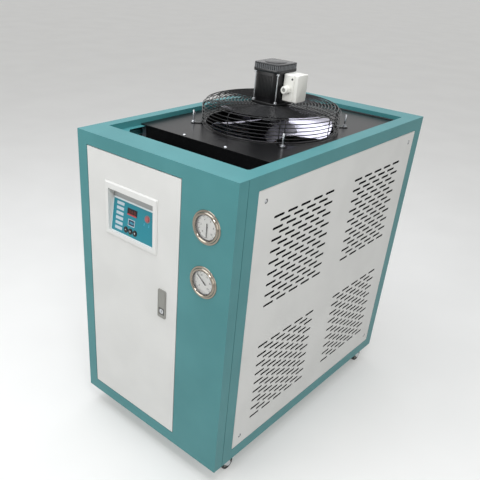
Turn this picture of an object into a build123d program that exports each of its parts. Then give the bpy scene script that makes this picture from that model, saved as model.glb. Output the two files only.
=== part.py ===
from build123d import *
from math import atan2, cos, degrees, radians, sin, sqrt
import os

# Recirculating chiller: a sheet-steel cabinet on four casters, with a flush door, a sloped control
# plate, two dial gauges, slotted side panels, and a guarded condenser fan on a sunken deck.
# Frame: X to the right seen from the front, Y from the front to the rear, Z up, floor at zero.
# All lengths are in millimetres.

# Cabinet
cab_w, cab_d, cab_h = 608.0, 1002.0, 950.0
caster_h = 76.0  # floor to the underside of the base pan
sheet = 1.5  # cabinet steel
seam = 0.3  # gap between two pieces of sheet that butt
corner_seam = 1.6  # open seam between the fascia and each side frame
side_return = 37.0  # how far the fascia wraps round each corner
rear_return = 30.0  # how far each side frame wraps round the rear corner
rail_h = 42.0  # teal rail under a side panel
head_h = 40.0  # teal rail over a side panel
front_post, rear_post = 81.0, 44.0  # teal posts before and behind a side panel
base_t, base_up = 2.5, 36.0  # base pan: sheet and upstand

# What stands proud of the front and of the rear
gauge_proud = 7.0
fitting_reach = 36.0

# Sunken top
rim_left, rim_right, rim_front, rim_rear = 36.0, 44.0, 90.0, 72.0
well_depth = 19.0  # rim to ledge
ledge_w = 19.0
ledge_corner = 47.0  # chamfer of the ledge's opening

# Side and rear panels
panel_gap = 1.5
panel_t = 1.2
panel_fold = 15.0
seat_w = 14.0  # lip that a panel's folds rest on
slot_l, slot_h = 47.5, 5.0
slot_pitch = 63.2
row_pitch = 17.15
rows = 17
slots_per_row = 5
group_y = (311.0, 731.0)  # centres of the slot groups, from the front
group_z = (264.0, 681.0)  # and above the base

# Door
door_w, door_h = 380.0, 865.0
door_left, door_low = 42.4, 44.0  # teal margins left of it and under it
door_gap = 2.5
door_fold = 20.0
jamb_d = 27.0  # fascia face to stop lip
lip_w = 12.0
gasket_w = 8.0
gasket_gap = 0.3
pivot_in, pivot_back = 10.0, 6.0  # hinge axis from the door's edge and face
pin_r, pin_engage = 3.0, 8.0
run_fit = 0.05  # radial clearance of anything that turns
slide_fit = 0.3  # radial clearance of a key in its bore

# Control panel in the door
bezel_w, bezel_h = 217.6, 165.3
bezel_left, bezel_low = 122.0, 661.0  # from the cabinet's left and the base
bezel_proud = 5.0
window_w, window_h = 188.0, 132.0
window_low = 13.5  # window above the bezel's lower edge
slope_low, slope_top = 1.5, 21.0  # depth of the sloped plate at its two ends
tub_wall, tub_depth = 2.5, 30.0
case_w, case_h, case_d = 150.0, 92.0, 55.0
overlay_w, overlay_h, overlay_t = 179.0, 100.0, 0.8
overlay_low = 2.0  # overlay's lower edge up the slope
led_w, led_h, led_t = 39.0, 18.0, 1.2
led_u, led_v = -7.0, 77.0  # centre from the overlay's middle, and up the slope
key_sides = 16  # flats that a small round key and its holes are drawn with
key_r, key_proud, key_stem, key_travel = 7.0, 1.8, 5.0, 0.8
key_v = 19.5  # round keys up the slope
key_u = (-26.5, -7.2, 12.1)
power_u, power_v = 55.5, 76.5

# Latch in the door
latch_x, latch_z = 364.0, 511.3  # centre from the cabinet's left and above the base
latch_w, latch_h, latch_proud = 31.8, 94.5, 3.0
latch_wall = 3.0
latch_pocket = 6.0  # depth of the handle's pocket
latch_body_d = 22.0
handle_h, handle_t = 56.0, 3.0
handle_gap = 0.6
handle_pin_r = 1.5
lock_r = 7.5
lock_up = 22.0  # cylinder above the latch's lower edge
cam_w, cam_l, cam_t = 14.0, 52.0, 2.0
cam_depth = 30.0  # door face to the cam

# Gauges
gauge_x = 515.9  # from the cabinet's left
gauge_sides = 24  # flats that a gauge's round rim, dial and lens are drawn with
gauge_z = (647.0, 806.6)  # lower and upper, above the base
gauge_flange_r, gauge_flange_t, gauge_bezel_r = 47.5, 2.5, 41.5
gauge_body_r, gauge_body_d = 39.5, 46.0
gauge_hole_gap = 1.0
dial_r, dial_t = 36.0, 0.8
dial_depth = 3.5  # dial behind the fascia's face
lens_t, lens_sink = 2.0, 1.0
dial_play = 0.2
arbor_r, arbor_l = 1.5, 8.0
pointer_l, pointer_tail, pointer_w, pointer_t = 29.0, 10.0, 3.0, 0.8
pointer_lift = 1.5
pointer_angle = (-52.0, 180.0)  # lower and upper pointer, clockwise from straight up

# Fan, on a deck that rests on the ledge
fan_left, fan_back = 304.0, 531.0  # axis from the cabinet's left and front
deck_front = 219.0  # deck's front edge from the front
deck_rise, deck_t, deck_gap = 4.5, 1.5, 1.0
collar_r, collar_d = 204.0, 50.0
collar_sides = 40  # flats that the collar is drawn with
guard_r, guard_wire = 218.5, 3.0
guard_sides = 24  # flats that a ring is drawn with, a multiple of 8
guard_h, guard_foot_h = 73.0, 2.5
guard_side_rings, guard_top_rings = 3, 3
guard_shoulder = 12.0
motor_plate_r, motor_plate_hole = 92.0, 40.0
stud_circle, stud_r, stud_l = 244.0, 3.0, 40.0
stud_play, stud_sides = 0.2, 8
foot_w, foot_in, foot_out = 24.0, 208.0, 252.0
rib_offset = 8.0
blades, blade_r, blade_t = 5, 197.0, 2.5
blade_chord, blade_camber, blade_pitch = 105.0, 11.0, 32.0
blade_flats = 4  # flats that a blade's camber is drawn with
first_blade = 36.0  # its turn from +X, which leaves a gap between two blades at each coil
hub_flat_r, hub_h, hub_drop = 62.0, 48.0, 17.0
shaft_r, shaft_in_motor = 7.0, 22.0

# Fan motor
motor_sq, motor_corner = 100.0, 12.0
motor_flange_t, motor_body_h, motor_cap_h = 6.0, 88.0, 25.0
motor_body_r = 48.5
cap_slots, cap_slot_w, cap_slot_d, cap_slot_h = 4, 8.0, 5.0, 15.0
cap_disc_r, cap_disc_t = 33.0, 2.0
rod_r, rod_in = 2.5, 9.0  # tie rods, in from the motor's sides
pad_w, pad_h = 36.0, 56.0
box_w, box_d, box_h, box_corner = 50.0, 54.0, 80.0, 4.0
box_back, box_up = 7.0, 8.0  # terminal box behind the axis, and above the flange
gland_r, gland_l, gland_bore = 14.0, 20.0, 6.0
gland_in, gland_up = 15.0, 36.0  # gland from the box's inner side and its underside

# Inside
wall_front = deck_front + 2.0
wall_side_gap = 3.0
coil_t, coil_l, coil_gap = 35.0, 700.0, 8.0
coil_front, coil_plate_t = 236.0, 2.0
coil_head_gap = 4.0
coil_pipe_r, coil_pipes = 5.0, 2
tank_w, tank_l, tank_h, tank_lid_t = 300.0, 300.0, 320.0, 3.0
tank_back = 130.0  # tank's rear from the cabinet's rear
comp_r, comp_h, comp_x, comp_back = 82.0, 310.0, -110.0, 360.0
comp_foot, comp_foot_t = 190.0, 6.0
pipe_r = 6.35
hidden_sides = 16  # flats that a round piece inside the cabinet is drawn with
pump_r, pump_l, pump_x, pump_gap = 52.0, 170.0, 120.0, 26.0
volute_r, volute_l, pump_foot_w = 68.0, 46.0, 90.0
contactor_w, contactor_h, contactor_d, contactor_pitch = 45.0, 74.0, 78.0, 58.0
contactor_z, contactor_count = 690.0, 4

# Rear connections
pipe_od_r, pipe_bore_r = 16.6, 12.5  # G1 male thread, drawn smooth
inlet_x, outlet_x, water_z = -90.0, 90.0, 190.0
hex_r, hex_t = 24.0, 8.0
hole_play = 0.4
hole_sides = 12
side_fitting_in = 104.0  # drain and supply in from the cabinet's sides
drain_z, drain_r, drain_bore_r = 170.0, 11.0, 6.0
drain_hex_r, drain_ball_r = 16.0, 14.0
lever_l, lever_w, lever_t, lever_stem_r = 46.0, 12.0, 3.0, 4.0
power_z, power_r, power_bore_r = 170.0, 12.5, 8.0
power_hex_r = 17.0

# Casters
wheel_r, wheel_w, wheel_sides = 25.0, 22.0, 24
axle_r = 4.0
trail = 30.0
caster_in, caster_end = 35.0, 73.5  # pivots in from the sides and from the ends
plate_sq, plate_t = 62.0, 2.5
race_r, race_t, race_gap = 20.0, 9.0, 0.5
kingpin_r = 5.0
fork_t, fork_side_gap, fork_top_w = 2.5, 1.5, 38.0
fork_eye_r = 9.0

# Worked out from the above
base_z = caster_h
top_z = base_z + cab_h
skin_top = top_z - sheet
half_w = cab_w / 2
front_y = -(cab_d + fitting_reach - gauge_proud) / 2
rear_y = front_y + cab_d
skin_h = skin_top - base_z
swing_r = sqrt(pivot_in**2 + (door_fold - pivot_back) ** 2)  # reach of the door's rear edge
hinge_side_clear = door_gap + pivot_in + swing_r  # stop lip and seal start clear of that edge
drain_x, power_x = half_w - side_fitting_in, side_fitting_in - half_w


def across(from_left):
    """X of a place given from the cabinet's left side."""
    return from_left - half_w


def facing_front(depth=0.0):
    """Plane seen from the front, this deep in the cabinet. Extruding comes out towards the viewer."""
    return Plane(origin=(0, front_y + depth, 0), x_dir=(1, 0, 0), z_dir=(0, -1, 0))


def facing_right(x):
    """Plane seen from the right. Extruding goes to +X."""
    return Plane(origin=(x, 0, 0), x_dir=(0, 1, 0), z_dir=(1, 0, 0))


def facing_rear():
    """Plane on the cabinet's rear face, seen from behind. Its x runs to the part's -X."""
    return Plane(origin=(0, rear_y, 0), x_dir=(-1, 0, 0), z_dir=(0, 1, 0))


# Base pan: a tray with upstands on all sides
pan_front, pan_rear = front_y + sheet + seam, rear_y - sheet - seam
pan_w = cab_w - 2 * (sheet + seam)
with BuildPart() as base_pan:
    with BuildSketch(Plane.XY.offset(base_z)):
        with Locations((0, (pan_front + pan_rear) / 2)):
            Rectangle(pan_w, pan_rear - pan_front)
    extrude(amount=base_up)
    offset(amount=-base_t, openings=base_pan.faces().sort_by(Axis.Z)[-1])
floor_z = base_z + base_t

# Door opening, shared by the fascia, the door and its seal
door_cx = across(door_left + door_w / 2)
door_cz = base_z + door_low + door_h / 2
open_w, open_h = door_w + 2 * door_gap, door_h + 2 * door_gap
open_left = door_cx - open_w / 2
open_right = door_cx + open_w / 2
pivot_x = door_cx - door_w / 2 + pivot_in
pivot_y = front_y + pivot_back
gauge_cx = across(gauge_x)

# Front fascia: one folded sheet with its side returns, door jambs and the stop lip behind the door
with BuildPart() as front_fascia:
    with BuildSketch(Plane.XY.offset(base_z)):
        with Locations((0, front_y)):
            Rectangle(cab_w, side_return, align=(Align.CENTER, Align.MIN))
        with Locations((0, front_y + sheet)):
            Rectangle(cab_w - 2 * sheet, side_return, align=(Align.CENTER, Align.MIN), mode=Mode.SUBTRACT)
    extrude(amount=skin_h)
    with BuildSketch(facing_front()):
        with Locations((door_cx, door_cz)):
            Rectangle(open_w + 2 * sheet, open_h + 2 * sheet)
    extrude(amount=-(jamb_d + sheet))
    with BuildSketch(facing_front()):
        with Locations((door_cx, door_cz)):
            Rectangle(open_w, open_h)
    extrude(amount=-jamb_d, mode=Mode.SUBTRACT)
    with BuildSketch(facing_front(jamb_d)):
        with Locations((open_right - lip_w, door_cz)):
            Rectangle(open_w - lip_w, open_h - 2 * lip_w, align=(Align.MAX, Align.CENTER))
        with Locations((open_left, door_cz)):
            Rectangle(hinge_side_clear, open_h, align=(Align.MIN, Align.CENTER))
    extrude(amount=-sheet, mode=Mode.SUBTRACT)
    with BuildSketch(facing_front()):
        with Locations([(gauge_cx, base_z + z) for z in gauge_z]):
            RegularPolygon(gauge_body_r + gauge_hole_gap, gauge_sides, major_radius=False)
    extrude(amount=-sheet, mode=Mode.SUBTRACT)
    with BuildSketch(Plane.XY.offset(door_cz)):
        with Locations((pivot_x, pivot_y)):
            RegularPolygon(pin_r, hole_sides)
    extrude(amount=open_h / 2 + 2 * sheet, both=True, mode=Mode.SUBTRACT)

# Side frame: skin, rear return, and a rebated opening for the panel
frame_front, frame_rear = front_y + side_return + corner_seam, rear_y
hole_front, hole_rear = front_y + front_post, rear_y - rear_post
hole_low, hole_top = base_z + rail_h, top_z - head_h
hole_y, hole_z = (hole_front + hole_rear) / 2, (hole_low + hole_top) / 2
hole_l, hole_h = hole_rear - hole_front, hole_top - hole_low
rebate = panel_fold
with BuildPart() as right_frame:
    with BuildSketch(facing_right(half_w)):
        with Locations((frame_front, base_z)):
            Rectangle(frame_rear - frame_front, skin_h, align=Align.MIN)
    extrude(amount=-sheet)
    with BuildSketch(facing_rear()):
        with Locations((-half_w, base_z)):
            Rectangle(rear_return, skin_h, align=Align.MIN)
    extrude(amount=-sheet)
    with BuildSketch(facing_right(half_w)):
        with Locations((hole_y, hole_z)):
            Rectangle(hole_l + 2 * sheet, hole_h + 2 * sheet)
    extrude(amount=-(rebate + sheet))
    with BuildSketch(facing_right(half_w)):
        with Locations((hole_y, hole_z)):
            Rectangle(hole_l, hole_h)
    extrude(amount=-rebate, mode=Mode.SUBTRACT)
    with BuildSketch(facing_right(half_w)):
        with Locations((hole_y, hole_z)):
            Rectangle(hole_l - 2 * seat_w, hole_h - 2 * seat_w)
    extrude(amount=-(rebate + sheet), mode=Mode.SUBTRACT)

with BuildPart() as left_frame:
    add(right_frame.part)
    mirror(about=Plane.YZ, mode=Mode.REPLACE)

# Top frame: flat rim, well wall and ledge, folded and welded as one
well_left, well_right = -half_w + rim_left, half_w - rim_right
well_front, well_rear = front_y + rim_front, rear_y - rim_rear
well_cx, well_cy = (well_left + well_right) / 2, (well_front + well_rear) / 2
well_w, well_l = well_right - well_left, well_rear - well_front
ledge_z = top_z - well_depth
with BuildPart() as top_frame:
    with BuildSketch(Plane.XY.offset(top_z)):
        with Locations((0, (front_y + rear_y) / 2)):
            Rectangle(cab_w, cab_d)
    extrude(amount=-sheet)
    with BuildSketch(Plane.XY.offset(top_z)):
        with Locations((well_cx, well_cy)):
            Rectangle(well_w + 2 * sheet, well_l + 2 * sheet)
    extrude(amount=-(well_depth + sheet))
    with BuildSketch(Plane.XY.offset(top_z)):
        with Locations((well_cx, well_cy)):
            Rectangle(well_w, well_l)
    extrude(amount=-well_depth, mode=Mode.SUBTRACT)
    with BuildSketch(Plane.XY.offset(top_z)) as ledge_hole:
        with Locations((well_cx, well_cy)):
            Rectangle(well_w - 2 * ledge_w, well_l - 2 * ledge_w)
        chamfer(ledge_hole.vertices(), length=ledge_corner)
    extrude(amount=-(well_depth + sheet), mode=Mode.SUBTRACT)

# Side panels: folded pans with four groups of slots; each row of a group is one long slot
pan_l, pan_h = hole_l - 2 * panel_gap, hole_h - 2 * panel_gap
inner_l, inner_h = pan_l - 2 * panel_t, pan_h - 2 * panel_t
row_l = (slots_per_row - 1) * slot_pitch + slot_l
with BuildPart() as right_panel:
    with BuildSketch(facing_right(half_w)):
        with Locations((hole_y, hole_z)):
            Rectangle(pan_l, pan_h)
            Rectangle(inner_l, inner_h, mode=Mode.SUBTRACT)
    extrude(amount=-panel_fold)
    with BuildSketch(facing_right(half_w)):
        with Locations((hole_y, hole_z)):
            Rectangle(inner_l, inner_h)
        with Locations([(front_y + gy, base_z + gz) for gy in group_y for gz in group_z]):
            with GridLocations(row_l, row_pitch, 1, rows):
                Rectangle(row_l, slot_h, mode=Mode.SUBTRACT)
    extrude(amount=-panel_t)

with BuildPart() as left_panel:
    add(right_panel.part)
    mirror(about=Plane.YZ, mode=Mode.REPLACE)

# Rear panel, with the holes for the water, drain and power connections
rear_low = base_z + base_up + seam
rear_w = cab_w - 2 * rear_return - 2 * seam
rear_h = skin_top - seam - rear_low
connections = (
    (inlet_x, water_z, pipe_bore_r),
    (outlet_x, water_z, pipe_bore_r),
    (drain_x, drain_z, drain_bore_r),
    (power_x, power_z, power_bore_r),
)
with BuildPart() as rear_panel:
    with BuildSketch(facing_rear()):
        with Locations((0, rear_low + rear_h / 2)):
            Rectangle(rear_w, rear_h)
    extrude(amount=-panel_fold)
    with BuildSketch(facing_rear().offset(-panel_t)):
        with Locations((0, rear_low + rear_h / 2)):
            Rectangle(rear_w - 2 * panel_t, rear_h - 2 * panel_t)
    extrude(amount=-panel_fold, mode=Mode.SUBTRACT)
    with BuildSketch(facing_rear()):
        for x, z, r in connections:
            with Locations((-x, z)):
                RegularPolygon(r + hole_play, hole_sides, major_radius=False)
    extrude(amount=-panel_t, mode=Mode.SUBTRACT)

# Partition between the front compartment and the air chamber; the deck's front edge rests on it
wall_left = well_left + ledge_w + wall_side_gap
wall_right = well_right - ledge_w - wall_side_gap
with BuildPart() as partition_wall:
    with BuildSketch(facing_front(wall_front)):
        with Locations(((wall_left + wall_right) / 2, floor_z)):
            Rectangle(wall_right - wall_left, ledge_z - floor_z, align=(Align.CENTER, Align.MIN))
    extrude(amount=-sheet)

# Door: a folded pan with holes for the control tub and the latch, bored for the hinge pins
bezel_cx = across(bezel_left + bezel_w / 2)
bezel_z0 = base_z + bezel_low
tub_w, tub_h = window_w + 2 * tub_wall, window_h + 2 * tub_wall
window_z0 = bezel_z0 + window_low
latch_cx, latch_cz = across(latch_x), base_z + latch_z
latch_body_w, latch_body_h = latch_w - 2 * latch_wall, latch_h - 2 * latch_wall
with BuildPart() as door:
    with BuildSketch(facing_front()):
        with Locations((door_cx, door_cz)):
            Rectangle(door_w, door_h)
    extrude(amount=-door_fold)
    with BuildSketch(facing_front(sheet)):
        with Locations((door_cx, door_cz)):
            Rectangle(door_w - 2 * sheet, door_h - 2 * sheet)
    extrude(amount=-door_fold, mode=Mode.SUBTRACT)
    with BuildSketch(facing_front()):
        with Locations((bezel_cx, window_z0 + window_h / 2)):
            Rectangle(tub_w + 2 * hole_play, tub_h + 2 * hole_play)
        with Locations((latch_cx, latch_cz)):
            Rectangle(latch_body_w + 2 * hole_play, latch_body_h + 2 * hole_play)
    extrude(amount=-sheet, mode=Mode.SUBTRACT)
    with BuildSketch(Plane.XY.offset(door_cz)):
        with Locations((pivot_x, pivot_y)):
            Circle(pin_r + run_fit)
    extrude(amount=door_h, both=True, mode=Mode.SUBTRACT)

# Seal on the stop lip, on the three sides that the lip has
seal_t = jamb_d - door_fold - gasket_gap
with BuildPart() as door_gasket:
    with BuildSketch(facing_front(jamb_d)):
        with Locations((open_right, door_cz)):
            Rectangle(open_w - hinge_side_clear, open_h, align=(Align.MAX, Align.CENTER))
        with Locations((open_right - gasket_w, door_cz)):
            Rectangle(open_w, open_h - 2 * gasket_w, align=(Align.MAX, Align.CENTER), mode=Mode.SUBTRACT)
    extrude(amount=seal_t)

# Hinge pins, each through a jamb into the door's fold
with BuildPart() as hinge_pins:
    for way in (1, -1):
        jamb_z = door_cz + way * (open_h / 2 + sheet)
        with BuildSketch(Plane.XY.offset(jamb_z)):
            with Locations((pivot_x, pivot_y)):
                RegularPolygon(pin_r, hole_sides)
        extrude(amount=-way * (sheet + door_gap + pin_engage))

# Control bezel: a frame on the door, and a tub behind it whose front is the sloped plate
slope_angle = degrees(atan2(slope_top - slope_low, window_h))
slope_out = (0, -cos(radians(slope_angle)), sin(radians(slope_angle)))
slope_up = (0, sin(radians(slope_angle)), cos(radians(slope_angle)))


def slope(height=0.0):
    """Plane on the sloped plate: u across from its middle, v up from its lower edge, height off it."""
    foot = Vector(bezel_cx, front_y + slope_low, window_z0)
    return Plane(origin=foot + Vector(slope_out) * height, x_dir=(1, 0, 0), z_dir=slope_out)


key_places = [(u, key_v) for u in key_u] + [(power_u, power_v)]
with BuildPart() as control_bezel:
    with BuildSketch(facing_front()):
        with Locations((bezel_cx, bezel_z0)):
            Rectangle(bezel_w, bezel_h, align=(Align.CENTER, Align.MIN))
    extrude(amount=bezel_proud)
    chamfer(control_bezel.faces().sort_by(Axis.Y)[0].edges(), length=bezel_proud * 0.6)
    with BuildSketch(facing_front()):
        with Locations((bezel_cx, window_z0 + window_h / 2)):
            Rectangle(tub_w, tub_h)
    extrude(amount=-tub_depth)
    with BuildSketch(facing_right(bezel_cx - window_w / 2)):
        with BuildLine():
            Polyline(
                (front_y - bezel_proud, window_z0),
                (front_y + slope_low, window_z0),
                (front_y + slope_top, window_z0 + window_h),
                (front_y - bezel_proud, window_z0 + window_h),
                close=True,
            )
        make_face()
    extrude(amount=window_w, mode=Mode.SUBTRACT)
    with BuildSketch(slope()):
        with Locations(key_places):
            RegularPolygon(key_r + slide_fit, key_sides)
    extrude(amount=-(key_stem + key_travel + slide_fit), mode=Mode.SUBTRACT)

with BuildPart() as controller_case:
    with BuildSketch(facing_front(tub_depth)):
        with Locations((bezel_cx, window_z0 + window_h / 2)):
            Rectangle(case_w, case_h)
    extrude(amount=-case_d)
    chamfer(controller_case.faces().sort_by(Axis.Y)[-1].edges(), length=tub_wall)

with BuildPart() as control_overlay:
    with BuildSketch(slope()):
        with Locations((0, overlay_low)):
            Rectangle(overlay_w, overlay_h, align=(Align.CENTER, Align.MIN))
        with Locations((led_u, led_v)):
            Rectangle(led_w, led_h, mode=Mode.SUBTRACT)
        with Locations(key_places):
            RegularPolygon(key_r + slide_fit, key_sides, mode=Mode.SUBTRACT)
    extrude(amount=overlay_t)

with BuildPart() as display_window:
    with BuildSketch(slope()):
        with Locations((led_u, led_v)):
            Rectangle(led_w, led_h)
    extrude(amount=led_t)

key_names = ("key_down", "key_set", "key_up", "power_key")
keys = []
for place in key_places:
    with BuildPart() as key:
        with BuildSketch(slope(-key_stem)):
            with Locations(place):
                RegularPolygon(key_r, key_sides)
        extrude(amount=key_stem + overlay_t + key_proud)
    keys.append(key)

# Latch: housing with a pocket, a handle hinged at the pocket's top, and a key cylinder with a cam
latch_low, latch_top = latch_cz - latch_h / 2, latch_cz + latch_h / 2
latch_face = latch_proud
pocket_w = latch_body_w
pocket_top = latch_top - latch_wall
pocket_low = pocket_top - handle_h - 2 * handle_gap
lock_z = latch_low + lock_up
handle_axis_z = pocket_top - handle_gap - handle_t / 2
handle_axis_y = front_y - latch_face + handle_t / 2
with BuildPart() as latch_housing:
    with BuildSketch(facing_front()) as latch_plate:
        with Locations((latch_cx, latch_cz)):
            Rectangle(latch_w, latch_h)
        chamfer(latch_plate.vertices(), length=latch_wall)
    extrude(amount=latch_face)
    with BuildSketch(facing_front()):
        with Locations((latch_cx, latch_cz)):
            Rectangle(latch_body_w, latch_body_h)
    extrude(amount=-latch_body_d)
    with BuildSketch(facing_front(-latch_face)):
        with Locations((latch_cx, pocket_top)):
            Rectangle(pocket_w, pocket_top - pocket_low, align=(Align.CENTER, Align.MAX))
    extrude(amount=-latch_pocket, mode=Mode.SUBTRACT)
    with BuildSketch(facing_front(-latch_face)):
        with Locations((latch_cx, lock_z)):
            RegularPolygon(lock_r + run_fit, hole_sides, major_radius=False)
    extrude(amount=-(latch_face + latch_body_d), mode=Mode.SUBTRACT)
    with BuildSketch(facing_right(latch_cx)):
        with Locations((handle_axis_y, handle_axis_z)):
            RegularPolygon(handle_pin_r + run_fit, stud_sides, major_radius=False)
    extrude(amount=latch_w / 2 - latch_wall / 2, both=True, mode=Mode.SUBTRACT)

handle_w = pocket_w - 2 * handle_gap
with BuildPart() as latch_handle:
    with BuildSketch(facing_right(latch_cx)):
        with Locations((handle_axis_y, handle_axis_z)):
            Circle(handle_t / 2)
        with Locations((handle_axis_y, handle_axis_z)):
            Rectangle(handle_t, handle_h - handle_t / 2, align=(Align.CENTER, Align.MAX))
    extrude(amount=handle_w / 2, both=True)
    with BuildSketch(facing_right(latch_cx)):
        with Locations((handle_axis_y, handle_axis_z)):
            Circle(handle_pin_r)
    extrude(amount=latch_w / 2 - latch_wall / 2 - slide_fit, both=True)

with BuildPart() as lock_cylinder:
    with BuildSketch(facing_front(-latch_face)):
        with Locations((latch_cx, lock_z)):
            Circle(lock_r)
    extrude(amount=-(latch_face + cam_depth))
    with BuildSketch(facing_front(-latch_face)):
        with Locations((latch_cx, lock_z)):
            Rectangle(lock_r * 0.25, lock_r)
    extrude(amount=-latch_proud, mode=Mode.SUBTRACT)

with BuildPart() as lock_cam:
    with BuildSketch(facing_front(cam_depth)):
        with Locations((latch_cx, lock_z)):
            RegularPolygon(lock_r + cam_w / 4, hole_sides)
        with Locations((latch_cx, lock_z)):
            Rectangle(cam_w, cam_l, align=(Align.CENTER, Align.MAX))
    extrude(amount=-cam_t)

# Gauges: flanged cases through the fascia, each with a dial, a pointer on an arbor, and a lens
gauge_places = [(gauge_cx, base_z + z) for z in gauge_z]
with BuildPart() as gauge_cases:
    with BuildSketch(facing_front()):
        with Locations(gauge_places):
            RegularPolygon(gauge_flange_r, gauge_sides)
    extrude(amount=gauge_flange_t)
    with BuildSketch(facing_front()):
        with Locations(gauge_places):
            RegularPolygon(gauge_bezel_r, gauge_sides)
    extrude(amount=gauge_proud)
    with BuildSketch(facing_front()):
        with Locations(gauge_places):
            RegularPolygon(gauge_body_r, gauge_sides)
    extrude(amount=-gauge_body_d)
    with BuildSketch(facing_front(-gauge_proud)):
        with Locations(gauge_places):
            RegularPolygon(dial_r + dial_play, gauge_sides)
    extrude(amount=-(gauge_proud + dial_depth), mode=Mode.SUBTRACT)
    with BuildSketch(facing_front(dial_depth)):
        with Locations(gauge_places):
            RegularPolygon(arbor_r + run_fit, stud_sides, major_radius=False)
    extrude(amount=-arbor_l, mode=Mode.SUBTRACT)

with BuildPart() as gauge_dials:
    with BuildSketch(facing_front(dial_depth)):
        with Locations(gauge_places):
            RegularPolygon(dial_r, gauge_sides)
            RegularPolygon(arbor_r + slide_fit, 6, major_radius=False, mode=Mode.SUBTRACT)
    extrude(amount=dial_t)

lens_face = gauge_proud - lens_sink
with BuildPart() as gauge_lenses:
    with BuildSketch(facing_front(-lens_face)):
        with Locations(gauge_places):
            RegularPolygon(dial_r, gauge_sides)
    extrude(amount=-lens_t)

pointer_face = dial_t + pointer_lift - dial_depth
pointer_outline = (
    (-pointer_w / 2, -pointer_tail),
    (pointer_w / 2, -pointer_tail),
    (pointer_w / 4, pointer_l),
    (-pointer_w / 4, pointer_l),
)
pointers = []
for place, turn in zip(gauge_places, pointer_angle):
    with BuildPart() as pointer:
        with BuildSketch(facing_front(-pointer_face)):
            with Locations(Location(place, -turn)):
                Polygon(*pointer_outline, align=None)
        extrude(amount=pointer_t)
        with BuildSketch(facing_front(-pointer_face)):
            with Locations(place):
                Circle(arbor_r)
        extrude(amount=-(pointer_lift + dial_t + arbor_l - slide_fit))
    pointers.append(pointer)

# Fan deck: a shallow pan with a drawn collar
fan_x, fan_y = across(fan_left), front_y + fan_back
deck_top = ledge_z + deck_rise
deck_x0, deck_x1 = well_left + deck_gap, well_right - deck_gap
deck_y0, deck_y1 = front_y + deck_front, well_rear - deck_gap
with BuildPart() as fan_deck:
    with BuildSketch(Plane.XY.offset(ledge_z)):
        with Locations(((deck_x0 + deck_x1) / 2, (deck_y0 + deck_y1) / 2)):
            Rectangle(deck_x1 - deck_x0, deck_y1 - deck_y0)
    extrude(amount=deck_rise)
    with BuildSketch(Plane.XY.offset(ledge_z)):
        with Locations(((deck_x0 + deck_x1) / 2, (deck_y0 + deck_y1) / 2)):
            Rectangle(deck_x1 - deck_x0 - 2 * deck_t, deck_y1 - deck_y0 - 2 * deck_t)
    extrude(amount=deck_rise - deck_t, mode=Mode.SUBTRACT)
    with BuildSketch(Plane.XY.offset(deck_top)):
        with Locations((fan_x, fan_y)):
            RegularPolygon(collar_r + deck_t, collar_sides, major_radius=False)
    extrude(amount=-collar_d)
    with BuildSketch(Plane.XY.offset(deck_top)):
        with Locations((fan_x, fan_y)):
            RegularPolygon(collar_r, collar_sides, major_radius=False)
    extrude(amount=-collar_d, mode=Mode.SUBTRACT)

# Fan guard: side rings and top rings welded to bent ribs, a motor plate, and four feet
guard_top = deck_top + guard_h
foot_top = deck_top + guard_foot_h
rib_r = guard_r - guard_wire
side_rise = guard_h - guard_shoulder - guard_foot_h - guard_wire


def guard_ring(flat_r, z):
    """Outline of one ring of flat-sided wire, its outer flats at this radius."""
    half_side = 180 / guard_sides
    with BuildSketch(Plane.XY.offset(z)) as ring:
        with Locations((fan_x, fan_y)):
            RegularPolygon(flat_r, guard_sides, major_radius=False, rotation=half_side)
            RegularPolygon(
                flat_r - guard_wire,
                guard_sides,
                major_radius=False,
                rotation=half_side,
                mode=Mode.SUBTRACT,
            )
    return ring.sketch


with BuildPart() as fan_guard:
    for k in range(guard_side_rings):
        level = foot_top + side_rise * k / (guard_side_rings - 1)
        extrude(guard_ring(guard_r, level), amount=guard_wire)
    top_span = rib_r - guard_shoulder - motor_plate_r
    for k in range(guard_top_rings):
        ring_r = rib_r - guard_shoulder - top_span * k / guard_top_rings
        extrude(guard_ring(ring_r, guard_top - guard_wire), amount=guard_wire)
    with BuildSketch(Plane.XY.offset(guard_top)):
        with Locations((fan_x, fan_y)):
            RegularPolygon(motor_plate_r, guard_sides)
            RegularPolygon(motor_plate_hole, hole_sides, mode=Mode.SUBTRACT)
    extrude(amount=-guard_wire)
    for k in range(4):
        diagonal = 45 + 90 * k
        radial = Plane(
            origin=(fan_x, fan_y, 0),
            x_dir=(cos(radians(diagonal)), sin(radians(diagonal)), 0),
            z_dir=(sin(radians(diagonal)), -cos(radians(diagonal)), 0),
        )
        for side in (-rib_offset, rib_offset):
            with BuildSketch(radial.offset(side - guard_wire / 2)):
                with BuildLine():
                    Polyline(
                        (rib_r, foot_top),
                        (rib_r, guard_top - guard_shoulder),
                        (rib_r - guard_shoulder, guard_top - guard_wire),
                        (motor_plate_r - guard_wire, guard_top - guard_wire),
                        (motor_plate_r - guard_wire, guard_top - 2 * guard_wire),
                        (rib_r - guard_shoulder - guard_wire, guard_top - 2 * guard_wire),
                        (rib_r - guard_wire, guard_top - guard_shoulder - guard_wire),
                        (rib_r - guard_wire, foot_top),
                        close=True,
                    )
                make_face()
            extrude(amount=guard_wire)
        with BuildSketch(Plane.XY.offset(deck_top)):
            with Locations(Location((fan_x, fan_y), diagonal)):
                with Locations(((foot_in + foot_out) / 2, 0)):
                    Rectangle(foot_out - foot_in, foot_w)
                with Locations((stud_circle, 0)):
                    RegularPolygon(stud_r + stud_play, stud_sides, mode=Mode.SUBTRACT)
        extrude(amount=guard_foot_h)

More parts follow.
